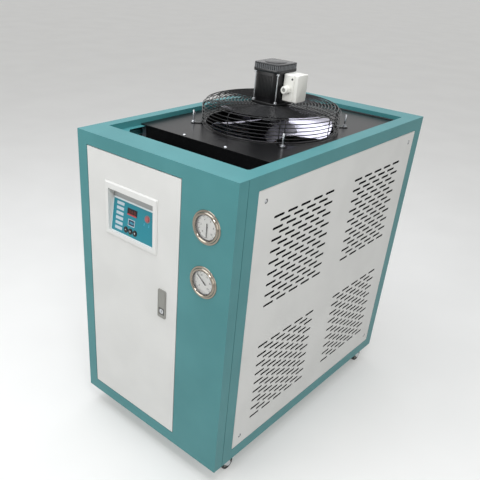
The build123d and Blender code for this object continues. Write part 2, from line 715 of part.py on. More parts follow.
with BuildPart() as guard_studs:
    with BuildSketch(Plane.XY.offset(deck_top)):
        with Locations((fan_x, fan_y)):
            with PolarLocations(stud_circle, 4, start_angle=45):
                RegularPolygon(stud_r, stud_sides)
    extrude(amount=stud_l)
    with BuildSketch(Plane.XY.offset(foot_top)):
        with Locations((fan_x, fan_y)):
            with PolarLocations(stud_circle, 4, start_angle=45):
                RegularPolygon(stud_r * 1.9, 6)
    extrude(amount=stud_r * 1.6)

# Fan motor: square end flange, round stator, and a pad for the terminal box
flange_top = guard_top + motor_flange_t
body_top = flange_top + motor_body_h
cap_top = body_top + motor_cap_h


def motor_square(z):
    """Outline of the motor's end castings at this height: a square with its corners cut."""
    with BuildSketch(Plane.XY.offset(z)) as square:
        with Locations((fan_x, fan_y)):
            Rectangle(motor_sq, motor_sq)
        chamfer(square.vertices(), length=motor_corner)
    return square.sketch


pad_cy = fan_y + box_back
box_z0 = flange_top + box_up
with BuildPart() as fan_motor:
    extrude(motor_square(guard_top), amount=motor_flange_t)
    with BuildSketch(Plane.XY.offset(flange_top)):
        with Locations((fan_x, fan_y)):
            RegularPolygon(motor_body_r, guard_sides)
    extrude(amount=motor_body_h)
    with BuildSketch(Plane.XY.offset(box_z0 + (box_h - pad_h) / 2)):
        with Locations((fan_x + motor_sq / 2, pad_cy)):
            Rectangle(motor_sq / 4, pad_w, align=(Align.MAX, Align.CENTER))
    extrude(amount=pad_h)
    with BuildSketch(Plane.XY.offset(guard_top)):
        with Locations((fan_x, fan_y)):
            RegularPolygon(shaft_r + run_fit, hole_sides, major_radius=False)
    extrude(amount=shaft_in_motor, mode=Mode.SUBTRACT)

with BuildPart() as motor_cap:
    extrude(motor_square(body_top), amount=motor_cap_h)
    slot_span = motor_sq - 2 * motor_corner
    with BuildSketch(Plane.XY.offset(cap_top)):
        with Locations((fan_x, fan_y)):
            with PolarLocations(motor_sq / 2, 4):
                with GridLocations(0, slot_span / (cap_slots - 1), 1, cap_slots):
                    Rectangle(cap_slot_d * 2, cap_slot_w)
    extrude(amount=-cap_slot_h, mode=Mode.SUBTRACT)
    with BuildSketch(Plane.XY.offset(cap_top)):
        with Locations((fan_x, fan_y)):
            RegularPolygon(cap_disc_r, guard_sides)
    extrude(amount=cap_disc_t)

rod_at = motor_sq - 2 * rod_in
with BuildPart() as tie_rods:
    with BuildSketch(Plane.XY.offset(flange_top)):
        with Locations((fan_x, fan_y)):
            with GridLocations(rod_at, rod_at, 2, 2):
                RegularPolygon(rod_r, stud_sides)
    extrude(amount=motor_body_h)

box_x0 = fan_x + motor_sq / 2
with BuildPart() as terminal_box:
    with BuildSketch(Plane.XY.offset(box_z0)):
        with Locations((box_x0, pad_cy)):
            Rectangle(box_w, box_d, align=(Align.MIN, Align.CENTER))
    extrude(amount=box_h)
    chamfer(terminal_box.edges().filter_by(Axis.Z), length=box_corner)
    chamfer(terminal_box.faces().sort_by(Axis.Z)[-1].edges(), length=box_corner / 2)

gland_y = pad_cy - box_d / 2
gland_plane = Plane(
    origin=(box_x0 + gland_in, gland_y, box_z0 + gland_up), x_dir=(1, 0, 0), z_dir=(0, -1, 0)
)
with BuildPart() as terminal_gland:
    with BuildSketch(gland_plane):
        RegularPolygon(gland_r, 6)
        RegularPolygon(gland_bore, hole_sides, mode=Mode.SUBTRACT)
    extrude(amount=gland_l / 2)
    with BuildSketch(gland_plane):
        RegularPolygon(gland_r * cos(radians(30)), hole_sides)
        RegularPolygon(gland_bore, hole_sides, mode=Mode.SUBTRACT)
    extrude(amount=gland_l)

# Impeller: cambered sheet blades, each on a flat of the hub, on a shaft that runs in the motor
hub_z = deck_top - hub_drop
blade_z = hub_z + hub_h / 2
blade_tip = sqrt(blade_r**2 - (blade_chord / 2) ** 2)


def camber_line(lift):
    """Points along a blade's cambered chord, raised by lift."""
    steps = [2 * k / blade_flats - 1 for k in range(blade_flats + 1)]
    return [(s * blade_chord / 2, lift + blade_camber * (1 - s * s)) for s in steps]


def blade_section(turn):
    """Plane on one flat of the hub; its x runs along the blade's chord."""
    out = Vector(cos(radians(turn)), sin(radians(turn)), 0)
    along = Vector(-sin(radians(turn)), cos(radians(turn)), 0)
    chord = along * cos(radians(blade_pitch)) + Vector(0, 0, 1) * sin(radians(blade_pitch))
    return Plane(origin=Vector(fan_x, fan_y, blade_z) + out * hub_flat_r, x_dir=chord, z_dir=out)


with BuildPart() as fan_impeller:
    with BuildSketch(Plane.XY.offset(hub_z)):
        with Locations((fan_x, fan_y)):
            RegularPolygon(hub_flat_r, blades, major_radius=False, rotation=180 / blades + first_blade)
    extrude(amount=hub_h)
    for k in range(blades):
        with BuildSketch(blade_section(first_blade + 360 / blades * k)):
            Polygon(*camber_line(0), *reversed(camber_line(blade_t)), align=None)
        extrude(amount=blade_tip - hub_flat_r)
    with BuildSketch(Plane.XY.offset(hub_z)):
        with Locations((fan_x, fan_y)):
            Circle(shaft_r)
    extrude(amount=hub_h, mode=Mode.SUBTRACT)

with BuildPart() as fan_shaft:
    with BuildSketch(Plane.XY.offset(hub_z)):
        with Locations((fan_x, fan_y)):
            Circle(shaft_r)
    extrude(amount=guard_top + shaft_in_motor - slide_fit - hub_z)

# Condenser coils, standing on the base pan behind each slotted panel
coil_x = half_w - sheet - rebate - coil_gap - coil_t / 2
coil_top = ledge_z - sheet - coil_head_gap
coil_cy = front_y + coil_front + coil_l / 2


def coil_outline(side):
    """Outline of the finned block and its end plates. side is 1 on the right, -1 on the left."""
    with BuildSketch(Plane.XY.offset(floor_z)) as outline:
        with Locations((side * coil_x, coil_cy)):
            Rectangle(coil_t - 2 * coil_plate_t, coil_l)
            with GridLocations(0, coil_l - coil_plate_t, 1, 2):
                Rectangle(coil_t, coil_plate_t)
    return outline.sketch


def header_outline(side):
    """Outline of the header pipes against the block's rear end plate."""
    with BuildSketch(Plane.XY.offset(floor_z)) as outline:
        with Locations((side * coil_x, coil_cy + coil_l / 2 + coil_pipe_r)):
            with GridLocations(3 * coil_pipe_r, 0, coil_pipes, 1):
                RegularPolygon(coil_pipe_r, stud_sides, major_radius=False)
    return outline.sketch


with BuildPart() as right_condenser:
    extrude(coil_outline(1), amount=coil_top - floor_z)
    extrude(header_outline(1), amount=coil_top - floor_z - coil_gap)

with BuildPart() as left_condenser:
    extrude(coil_outline(-1), amount=coil_top - floor_z)
    extrude(header_outline(-1), amount=coil_top - floor_z - coil_gap)

# Compressor: a welded can on its foot plate
comp_y = front_y + comp_back
with BuildPart() as compressor:
    with BuildSketch(Plane.XY.offset(floor_z)):
        with Locations((comp_x, comp_y)):
            Rectangle(comp_foot, comp_foot)
    extrude(amount=comp_foot_t)
    with BuildSketch(Plane.XY.offset(floor_z + comp_foot_t)):
        with Locations((comp_x, comp_y)):
            RegularPolygon(comp_r, hidden_sides)
    extrude(amount=comp_h)
    chamfer(compressor.faces().sort_by(Axis.Z)[-1].edges(), length=comp_r * 0.4)

# Insulated water tank with a flanged lid
tank_cy = rear_y - tank_back - tank_l / 2
with BuildPart() as water_tank:
    with BuildSketch(Plane.XY.offset(floor_z)):
        with Locations((0, tank_cy)):
            Rectangle(tank_w, tank_l)
    extrude(amount=tank_h)
    with BuildSketch(Plane.XY.offset(floor_z + tank_h)):
        with Locations((0, tank_cy)):
            Rectangle(tank_w + 8 * tank_lid_t, tank_l + 8 * tank_lid_t)
    extrude(amount=tank_lid_t)

# Water pump: motor barrel and volute on a foot
pump_y = tank_cy - tank_l / 2 - pump_gap - pump_l - volute_l
pump_z = floor_z + volute_r
with BuildPart() as water_pump:
    pump_face = Plane(origin=(pump_x, pump_y, pump_z), x_dir=(1, 0, 0), z_dir=(0, 1, 0))
    with BuildSketch(pump_face):
        RegularPolygon(volute_r, hidden_sides, major_radius=False, rotation=180 / hidden_sides)
    extrude(amount=volute_l)
    with BuildSketch(pump_face.offset(volute_l)):
        RegularPolygon(pump_r, hidden_sides)
    extrude(amount=pump_l)
    with BuildSketch(Plane.XY.offset(floor_z)):
        with Locations((pump_x, pump_y + volute_l)):
            Rectangle(pump_foot_w, pump_l, align=(Align.CENTER, Align.MIN))
    extrude(amount=volute_r - pump_r / 2)

# Refrigerant line from the compressor's top to the right-hand coil's header
line_z = floor_z + comp_foot_t + comp_h
line_rise, line_bend = 60.0, 30.0
header_x = coil_x - coil_t / 2 - pipe_r
header_y = coil_cy + coil_l / 2 - coil_gap
with BuildPart() as refrigerant_line:
    with BuildLine():
        FilletPolyline(
            (comp_x, comp_y, line_z),
            (comp_x, comp_y, line_z + line_rise),
            (header_x, comp_y, line_z + line_rise),
            (header_x, header_y, line_z + line_rise),
            radius=line_bend,
        )
    with BuildSketch(Plane.XY.offset(line_z)):
        with Locations((comp_x, comp_y)):
            RegularPolygon(pipe_r, stud_sides)
    sweep()

# Contactors on the partition, facing the door
with BuildPart() as contactors:
    with BuildSketch(facing_front(wall_front)):
        with Locations(((wall_left + wall_right) / 2, contactor_z)):
            with GridLocations(contactor_pitch, 0, contactor_count, 1):
                Rectangle(contactor_w, contactor_h)
    extrude(amount=contactor_d)

# Water inlet and outlet: threaded nipples, each with a hexagon against the rear panel
with BuildPart() as water_nipples:
    for x in (inlet_x, outlet_x):
        with BuildSketch(facing_rear()):
            with Locations((-x, water_z)):
                RegularPolygon(hex_r, 6)
        extrude(amount=hex_t)
        with BuildSketch(facing_rear()):
            with Locations((-x, water_z)):
                Circle(pipe_od_r)
        extrude(amount=fitting_reach)
        with BuildSketch(facing_rear()):
            with Locations((-x, water_z)):
                Circle(pipe_bore_r)
        extrude(amount=fitting_reach, mode=Mode.SUBTRACT)

# Drain valve of hexagon bar, with a block for the ball, and its lever
valve_l = fitting_reach - 4.0
lever_y = rear_y + valve_l / 2
lever_z = drain_z + drain_ball_r
stem_depth = drain_ball_r - drain_bore_r - sheet
with BuildPart() as drain_valve:
    with BuildSketch(facing_rear()):
        with Locations((-drain_x, drain_z)):
            RegularPolygon(drain_hex_r, 6)
    extrude(amount=hex_t)
    with BuildSketch(facing_rear()):
        with Locations((-drain_x, drain_z)):
            RegularPolygon(drain_r, 6)
    extrude(amount=valve_l)
    with BuildSketch(Plane.XY.offset(lever_z)):
        with Locations((drain_x, lever_y)):
            Rectangle(2 * drain_r, 2 * drain_r)
    extrude(amount=-2 * drain_ball_r)
    with BuildSketch(facing_rear()):
        with Locations((-drain_x, drain_z)):
            Circle(drain_bore_r)
    extrude(amount=valve_l, mode=Mode.SUBTRACT)
    with BuildSketch(Plane.XY.offset(lever_z)):
        with Locations((drain_x, lever_y)):
            RegularPolygon(lever_stem_r + run_fit, stud_sides, major_radius=False)
    extrude(amount=-stem_depth, mode=Mode.SUBTRACT)

with BuildPart() as drain_lever:
    with BuildSketch(Plane.XY.offset(lever_z + slide_fit)):
        with Locations((drain_x, lever_y)):
            RegularPolygon(lever_w * 0.7, stud_sides)
            Rectangle(lever_l, lever_w, align=(Align.MAX, Align.CENTER))
    extrude(amount=lever_t)
    with BuildSketch(Plane.XY.offset(lever_z + slide_fit)):
        with Locations((drain_x, lever_y)):
            Circle(lever_stem_r)
    extrude(amount=-stem_depth)

# Empty cable gland for the supply
with BuildPart() as power_gland:
    with BuildSketch(facing_rear()):
        with Locations((-power_x, power_z)):
            RegularPolygon(power_hex_r, 6)
    extrude(amount=hex_t)
    with BuildSketch(facing_rear()):
        with Locations((-power_x, power_z)):
            RegularPolygon(power_r, hole_sides)
    extrude(amount=fitting_reach / 2)
    with BuildSketch(facing_rear()):
        with Locations((-power_x, power_z)):
            Circle(power_bore_r)
    extrude(amount=fitting_reach / 2, mode=Mode.SUBTRACT)

# Casters: a fixed plate and race, a fork that swivels on it with its axle, and a wheel
caster_x = half_w - caster_in
caster_y = (front_y + caster_end, rear_y - caster_end)
corners = {
    "front_left": (-caster_x, caster_y[0]),
    "front_right": (caster_x, caster_y[0]),
    "rear_left": (-caster_x, caster_y[1]),
    "rear_right": (caster_x, caster_y[1]),
}
race_z = base_z - plate_t - race_t
with BuildPart() as caster_plates:
    for place in corners.values():
        with BuildSketch(Plane.XY.offset(base_z)):
            with Locations(place):
                Rectangle(plate_sq, plate_sq)
        extrude(amount=-plate_t)
        with BuildSketch(Plane.XY.offset(base_z - plate_t)):
            with Locations(place):
                RegularPolygon(race_r, hole_sides)
        extrude(amount=-race_t)
        with BuildSketch(Plane.XY.offset(race_z)):
            with Locations(place):
                Circle(kingpin_r + run_fit)
        extrude(amount=race_t, mode=Mode.SUBTRACT)

fork_top = race_z - race_gap
leg_x = wheel_w / 2 + fork_side_gap
forks, wheels = [], []
for x, y in corners.values():
    with BuildPart() as fork:
        with BuildSketch(facing_right(x - leg_x - fork_t)):
            with Locations((y, fork_top)):
                Rectangle(fork_top_w, fork_t, align=(Align.CENTER, Align.MAX))
            with Locations((y + trail, wheel_r)):
                RegularPolygon(fork_eye_r, stud_sides)
            make_hull()
        extrude(amount=2 * (leg_x + fork_t))
        with BuildSketch(facing_right(x - leg_x)):
            with Locations((y, fork_top - fork_t)):
                Rectangle(4 * fork_top_w, cab_h, align=(Align.CENTER, Align.MAX))
        extrude(amount=2 * leg_x, mode=Mode.SUBTRACT)
        with BuildSketch(facing_right(x - leg_x)):
            with Locations((y + trail, wheel_r)):
                RegularPolygon(axle_r, stud_sides)
        extrude(amount=2 * leg_x)
        with BuildSketch(Plane.XY.offset(fork_top)):
            with Locations((x, y)):
                RegularPolygon(kingpin_r, stud_sides)
        extrude(amount=race_gap + race_t - slide_fit)
    forks.append(fork)
    with BuildPart() as wheel:
        with BuildSketch(facing_right(x - wheel_w / 2)):
            with Locations((y + trail, wheel_r)):
                RegularPolygon(wheel_r, wheel_sides, major_radius=False, rotation=180 / wheel_sides)
                Circle(axle_r + run_fit, mode=Mode.SUBTRACT)
        extrude(amount=wheel_w)
    wheels.append(wheel)

pieces = {
    "base_pan": base_pan,
    "front_fascia": front_fascia,
    "left_frame": left_frame,
    "right_frame": right_frame,
    "top_frame": top_frame,
    "right_panel": right_panel,
    "left_panel": left_panel,
    "rear_panel": rear_panel,
    "partition_wall": partition_wall,
    "door": door,
    "door_gasket": door_gasket,
    "hinge_pins": hinge_pins,
    "control_bezel": control_bezel,
    "controller_case": controller_case,
    "control_overlay": control_overlay,
    "display_window": display_window,
    "latch_housing": latch_housing,
    "latch_handle": latch_handle,
    "lock_cylinder": lock_cylinder,
    "lock_cam": lock_cam,
    "gauge_cases": gauge_cases,
    "gauge_dials": gauge_dials,
    "gauge_lenses": gauge_lenses,
    "lower_pointer": pointers[0],
    "upper_pointer": pointers[1],
    "fan_deck": fan_deck,
    "fan_guard": fan_guard,
    "guard_studs": guard_studs,
    "fan_motor": fan_motor,
    "motor_cap": motor_cap,
    "tie_rods": tie_rods,
    "terminal_box": terminal_box,
    "terminal_gland": terminal_gland,
    "fan_impeller": fan_impeller,
    "fan_shaft": fan_shaft,
    "right_condenser": right_condenser,
    "left_condenser": left_condenser,
    "compressor": compressor,
    "water_tank": water_tank,
    "water_pump": water_pump,
    "refrigerant_line": refrigerant_line,
    "contactors": contactors,
    "water_nipples": water_nipples,
    "drain_valve": drain_valve,
    "drain_lever": drain_lever,
    "power_gland": power_gland,
    "caster_plates": caster_plates,
}
pieces |= dict(zip(key_names, keys))
pieces |= {f"caster_fork_{place}": fork for place, fork in zip(corners, forks)}
pieces |= {f"caster_wheel_{place}": wheel for place, wheel in zip(corners, wheels)}

os.makedirs("parts", exist_ok=True)
for label, piece in pieces.items():
    piece.part.label = label
    export_step(piece.part, f"parts/{label}.step")
print(len(pieces), "pieces written")
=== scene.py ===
# %% [markdown]
# # A recirculating chiller, dressed in Blender
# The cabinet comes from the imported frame: folded sheet, door, gauges, fan and casters at their
# real size. This file gives each of them its finish and adds the fine shapes that the eye expects,
# such as wire rings, printed dials, screws and fins. Every length here is in metres.

# %% Tools and the fixed frame
import math

import bmesh
import bpy
from mathutils import Matrix, Vector


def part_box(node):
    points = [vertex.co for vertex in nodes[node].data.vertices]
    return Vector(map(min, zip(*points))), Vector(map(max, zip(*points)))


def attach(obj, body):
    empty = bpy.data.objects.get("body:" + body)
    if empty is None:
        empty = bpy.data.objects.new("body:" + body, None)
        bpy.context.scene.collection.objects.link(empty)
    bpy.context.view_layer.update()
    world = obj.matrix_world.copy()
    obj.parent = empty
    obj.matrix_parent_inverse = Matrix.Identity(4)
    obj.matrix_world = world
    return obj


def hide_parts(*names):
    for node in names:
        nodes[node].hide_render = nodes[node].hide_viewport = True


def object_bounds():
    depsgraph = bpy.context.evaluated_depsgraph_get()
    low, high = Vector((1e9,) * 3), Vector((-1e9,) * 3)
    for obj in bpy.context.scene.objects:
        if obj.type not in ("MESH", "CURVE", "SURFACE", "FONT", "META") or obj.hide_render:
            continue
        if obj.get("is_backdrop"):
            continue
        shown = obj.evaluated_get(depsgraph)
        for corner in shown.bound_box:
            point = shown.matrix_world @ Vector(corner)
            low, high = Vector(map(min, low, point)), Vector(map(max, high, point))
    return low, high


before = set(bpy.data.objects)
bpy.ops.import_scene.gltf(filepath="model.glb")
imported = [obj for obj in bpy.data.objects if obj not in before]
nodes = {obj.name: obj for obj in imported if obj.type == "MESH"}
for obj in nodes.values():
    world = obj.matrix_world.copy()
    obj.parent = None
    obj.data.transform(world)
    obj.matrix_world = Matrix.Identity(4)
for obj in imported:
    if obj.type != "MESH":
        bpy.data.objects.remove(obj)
cad_low, cad_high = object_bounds()
MM = 0.001
print(len(nodes), "nodes; the cabinet measures", [round(v, 3) for v in cad_high - cad_low])

# %% [markdown]
# ## Camera
# The photograph looks down on the right-hand front edge from about head height. The camera stands
# where the corners of the cabinet put it, with the frame's middle shifted off the lens axis.

# %% The camera
camera_data = bpy.data.cameras.new("camera")
camera_data.sensor_width = 36
camera_data.lens = 43.84
camera_data.shift_x, camera_data.shift_y = 0.1125, 0.0927
camera = bpy.data.objects.new("camera", camera_data)
camera.location = (1.0845, -1.5510, 1.4926)
camera.rotation_euler = [math.radians(a) for a in (60.08, -2.25, 43.34)]
bpy.context.scene.collection.objects.link(camera)
bpy.context.scene.camera = camera
bpy.context.scene.view_settings.view_transform = "Standard"

# %% [markdown]
# ## Helpers for modelling
# Each new piece starts from a primitive, is shaped in edit mode or by modifiers, and ends with its
# place in its mesh and its object at the origin. An operator acts on all that is selected, so each
# helper first makes the piece the only selected object.


# %% Helpers for modelling
def only(piece):
    """Makes this the one selected and active object."""
    if bpy.context.object and bpy.context.object.mode != "OBJECT":
        bpy.ops.object.mode_set(mode="OBJECT")
    bpy.ops.object.select_all(action="DESELECT")
    piece.select_set(True)
    bpy.context.view_layer.objects.active = piece
    return piece


def settle(piece):
    """Puts the piece's place, turn and scale into its mesh."""
    only(piece)
    if piece.type != "MESH":
        bpy.ops.object.convert(target="MESH")
    bpy.ops.object.transform_apply(location=True, rotation=True, scale=True)
    return piece


def block(low, high):
    """A box from its lowest to its highest corner."""
    low, high = Vector(low), Vector(high)
    bpy.ops.mesh.primitive_cube_add(size=1, location=(low + high) / 2)
    piece = bpy.context.object
    piece.scale = high - low
    return settle(piece)


def rod(start, end, radius, sides=48, end_radius=None):
    """A round bar or, with a second radius, a taper, from one point to another."""
    start, end = Vector(start), Vector(end)
    bpy.ops.mesh.primitive_cone_add(
        vertices=sides,
        radius1=radius,
        radius2=radius if end_radius is None else end_radius,
        depth=(end - start).length,
        location=(start + end) / 2,
    )
    piece = bpy.context.object
    piece.rotation_euler = (end - start).to_track_quat("Z", "Y").to_euler()
    return settle(piece)


def ring(centre, radius, wire, rounds=96):
    """A level ring of round wire."""
    bpy.ops.mesh.primitive_torus_add(
        location=centre,
        major_radius=radius,
        minor_radius=wire,
        major_segments=rounds,
        minor_segments=8,
    )
    return settle(bpy.context.object)


def turned(profile, centre, axis="Z", steps=96):
    """A lathe form: a profile of (radius, height) points, spun round an axis through centre."""
    mesh = bpy.data.meshes.new("turned")
    body = bpy.data.objects.new("turned", mesh)
    bpy.context.scene.collection.objects.link(body)
    shape = bmesh.new()
    points = [shape.verts.new((r, 0, h)) for r, h in profile]
    for a, b in zip(points, points[1:]):
        shape.edges.new((a, b))
    shape.to_mesh(mesh)
    shape.free()
    only(body)
    bpy.ops.object.mode_set(mode="EDIT")
    bpy.ops.mesh.select_all(action="SELECT")
    bpy.ops.mesh.spin(steps=steps, angle=math.tau, center=(0, 0, 0), axis=(0, 0, 1))
    bpy.ops.mesh.remove_doubles(threshold=1e-6)
    bpy.ops.mesh.normals_make_consistent(inside=False)
    bpy.ops.object.mode_set(mode="OBJECT")
    if axis == "-Y":
        body.rotation_euler = (math.pi / 2, 0, 0)
    body.location = centre
    return settle(body)


def wire(points, radius, sides=2, closed=False):
    """Round wire bent along straight runs between points."""
    curve = bpy.data.curves.new("wire", "CURVE")
    curve.dimensions = "3D"
    curve.bevel_depth = radius
    curve.bevel_resolution = sides
    curve.use_fill_caps = True
    run = curve.splines.new("POLY")
    run.points.add(len(points) - 1)
    for point, place in zip(run.points, points):
        point.co = (*place, 1)
    run.use_cyclic_u = closed
    piece = bpy.data.objects.new("wire", curve)
    bpy.context.scene.collection.objects.link(piece)
    return settle(piece)


def pick(piece, kind, test):
    """Opens edit mode and selects only the faces or edges that pass a test."""
    if piece.mode != "EDIT":
        bpy.ops.object.mode_set(mode="EDIT")
    bpy.ops.mesh.select_mode(type=kind)
    bpy.ops.mesh.select_all(action="DESELECT")
    shape = bmesh.from_edit_mesh(piece.data)
    for part in shape.faces if kind == "FACE" else shape.edges:
        part.select = test(part)


def round_edges(piece, upright, radius, segments):
    """Rounds the edges of a block that run along one axis."""
    axis = "XYZ".index(upright)

    def runs_along(line):
        run = line.verts[1].co - line.verts[0].co
        return abs(run[axis]) > 0.99 * run.length

    pick(piece, "EDGE", runs_along)
    bpy.ops.mesh.bevel(offset=radius, segments=segments, affect="EDGES")
    bpy.ops.object.mode_set(mode="OBJECT")
    return piece


def rounded_block(low, high, radius, edge=0.6 * MM, upright="Z"):
    """A box whose four edges along one axis are rounded well, and the rest only broken."""
    return soften(round_edges(block(low, high), upright, radius, 6), edge, 2, 50)


def copied(piece, place=(0, 0, 0), turn=0.0):
    """A copy with its own mesh, moved by place and turned about the upright through the origin."""
    twin = piece.copy()
    twin.data = piece.data.copy()
    bpy.context.scene.collection.objects.link(twin)
    twin.matrix_world = Matrix.Translation(place) @ Matrix.Rotation(turn, 4, "Z")
    return settle(twin)


def removed(*pieces):
    """Takes away pieces that only served as a pattern."""
    for piece in pieces:
        bpy.data.objects.remove(piece, do_unlink=True)


def soften(piece, width, segments=2, angle=35):
    """Rounds the piece's edges by a bevel, and shades what is left smooth."""
    only(piece)
    bevel = piece.modifiers.new("edges", "BEVEL")
    bevel.width = width
    bevel.segments = segments
    bevel.limit_method = "ANGLE"
    bevel.angle_limit = math.radians(angle)
    bpy.ops.object.modifier_apply(modifier=bevel.name)
    bpy.ops.object.shade_smooth_by_angle(angle=math.radians(angle))
    return piece


def smooth(piece, angle=35):
    """Shades gentle bends smooth and keeps sharp edges sharp."""
    only(piece)
    bpy.ops.object.shade_smooth_by_angle(angle=math.radians(angle))
    return piece


def joined(name, parts):
    """Several meshes as one piece with this name."""
    only(parts[0])
    for part in parts[1:]:
        part.select_set(True)
    if len(parts) > 1:
        bpy.ops.object.join()
    parts[0].name = name
    parts[0].data.name = name
    return parts[0]


def dress(piece, body, slot, material, *stands_for):
    """Gives a finished piece its material, its body and the nodes that it stands for."""
    piece.data.materials.clear()
    piece.data.materials.append(material)
    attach(piece, body)
    if stands_for:
        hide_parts(*stands_for)
    return piece


# %% [markdown]
# ## Helpers for materials
# Colours are written as sRGB hex and turned to linear light once. One function adds a node with
# its settings and links, so a material reads as a list of its layers.


# %% Helpers for materials
def linear(code):
    """Linear RGBA of an sRGB hex colour."""
    values = [int(code[i : i + 2], 16) / 255 for i in (1, 3, 5)]
    return [v / 12.92 if v <= 0.04045 else ((v + 0.055) / 1.055) ** 2.4 for v in values] + [1.0]


def add_node(tree, kind, sockets=None, **settings):
    """Adds a node. A socket given an output is linked to it, and any other is set to the value."""
    node = tree.nodes.new(kind)
    for name, value in settings.items():
        setattr(node, name, value)
    for name, value in (sockets or {}).items():
        if isinstance(value, bpy.types.NodeSocket):
            tree.links.new(value, node.inputs[name])
        else:
            node.inputs[name].default_value = value
    return node


def start_material(name, colour, roughness, metallic=0.0, **shader_values):
    """A Principled material with an object coordinate ready for its patterns."""
    material = bpy.data.materials.new(name)
    material.use_nodes = True
    tree = material.node_tree
    shader = tree.nodes["Principled BSDF"]
    shader.inputs["Base Color"].default_value = linear(colour)
    shader.inputs["Roughness"].default_value = roughness
    shader.inputs["Metallic"].default_value = metallic
    for socket, value in shader_values.items():
        shader.inputs[socket.replace("_", " ")].default_value = value
    place = add_node(tree, "ShaderNodeTexCoord").outputs["Object"]
    return material, tree, shader, place


def set_ramp(ramp, *stops):
    """Puts the two stops of a colour ramp at these places, in these colours."""
    for stop, (position, colour) in zip(ramp.color_ramp.elements, stops):
        stop.position, stop.color = position, linear(colour)


def mottle(tree, shader, place, dark, light, size, detail=2.0):
    """Colour that drifts softly between two tones over this length."""
    cloud = add_node(
        tree, "ShaderNodeTexNoise", {"Vector": place, "Scale": 1 / size, "Detail": detail}
    )
    tones = add_node(tree, "ShaderNodeValToRGB", {"Fac": cloud.outputs["Fac"]})
    set_ramp(tones, (0.35, dark), (0.65, light))
    tree.links.new(tones.outputs["Color"], shader.inputs["Base Color"])


def roughen(tree, shader, place, size, height, stretch=(1, 1, 1)):
    """Fine relief of this grain size and height, stretched along an axis where it was brushed."""
    turn = add_node(tree, "ShaderNodeMapping", {"Vector": place, "Scale": stretch})
    grain = add_node(
        tree,
        "ShaderNodeTexNoise",
        {"Vector": turn.outputs["Vector"], "Scale": 1 / size, "Detail": 3.0},
    )
    relief = add_node(
        tree,
        "ShaderNodeBump",
        {"Height": grain.outputs["Fac"], "Strength": 1.0, "Distance": height},
    )
    tree.links.new(relief.outputs["Normal"], shader.inputs["Normal"])


# %% [markdown]
# ## Powder-coated steel
# The cabinet's sheet is powder coated: a baked polyester skin, satin, with a faint orange-peel
# ripple a couple of millimetres across. The frame is blue-green and the panels are off-white.


# %% Powder-coated steel
def powder_coat(name, dark, light, roughness=0.42):
    material, tree, shader, place = start_material(name, light, roughness, Specular_IOR_Level=0.45)
    mottle(tree, shader, place, dark, light, 140 * MM)
    roughen(tree, shader, place, 2.2 * MM, 0.05 * MM)
    return material


teal_coat = powder_coat("teal_powder_coat", "#3F8184", "#45878A")
white_coat = powder_coat("white_powder_coat", "#D6D6D3", "#DBDBD8", 0.46)


# %% [markdown]
# ## Enamelled steel
# Deck, guard, fan hub and motor carry a glossy black stoving enamel. On the deck it shows fine pale
# specks of dust and spray, which break up its reflections.


# %% Enamelled steel
def black_enamel(name, specks, roughness):
    material, tree, shader, place = start_material(
        name, "#0E0E0F", roughness, Specular_IOR_Level=0.3
    )
    cells = add_node(
        tree,
        "ShaderNodeTexVoronoi",
        {"Vector": place, "Scale": 1 / (5 * MM), "Randomness": 1.0},
    )
    spots = add_node(tree, "ShaderNodeValToRGB", {"Fac": cells.outputs["Distance"]})
    set_ramp(spots, (0.06, specks), (0.16, "#0D0D0E"))
    tree.links.new(spots.outputs["Color"], shader.inputs["Base Color"])
    roughen(tree, shader, place, 6 * MM, 0.12 * MM)
    return material


# The deck's black enamel; on the partition wall the same black is painted shade.
deck_enamel_and_shade = black_enamel("speckled_black_enamel_and_shade", "#444446", 0.3)
wire_enamel = black_enamel("black_wire_enamel", "#101012", 0.16)
motor_enamel = black_enamel("black_motor_enamel", "#121213", 0.3)


# %% [markdown]
# ## Plated and plain metals
# Studs, screws and casters are bright zinc on steel. The gauges are spun stainless steel, the
# blades' pale metal colour is painted light, and the coils are aluminium fins on drawn copper tube.


# %% Plated and plain metals
def metal(name, colour, roughness, grain=0.8 * MM, height=0.01 * MM, stretch=(1, 1, 1)):
    material, tree, shader, place = start_material(name, colour, roughness, 1.0)
    roughen(tree, shader, place, grain, height, stretch)
    return material


zinc = metal("bright_zinc_plate", "#C9CBCE", 0.28)
screw_dark = metal("shadowed_dimple_steel", "#6E7072", 0.5)
stainless = metal("spun_stainless_steel", "#968E82", 0.17, 0.5 * MM, 0.008 * MM)
copper = metal("drawn_copper", "#C77B4A", 0.3)
brass = metal("turned_brass", "#C9A45A", 0.32)
fins_metal = metal("aluminium_fin_stock", "#E6E5F0", 0.5, 1.2 * MM, 0.02 * MM, (1, 1, 6))
# Painted light: the blades' pale colour stands in for the bright region seen through the guard.
blade_painted_light = metal("pale_blade_painted_light", "#D8D5E2", 0.34, 1.5 * MM, 0.02 * MM, (1, 1, 4))


# %% [markdown]
# ## Plastics, rubber and film
# Moulded parts have a fine spark-eroded grain, a tenth of a millimetre deep at most. The overlay is
# a printed polyester film, and smooth paint on small parts looks much the same.


# %% Plastics, rubber and film
def moulded(name, colour, roughness, grain=0.7 * MM, height=0.02 * MM):
    material, tree, shader, place = start_material(name, colour, roughness)
    roughen(tree, shader, place, grain, height)
    return material


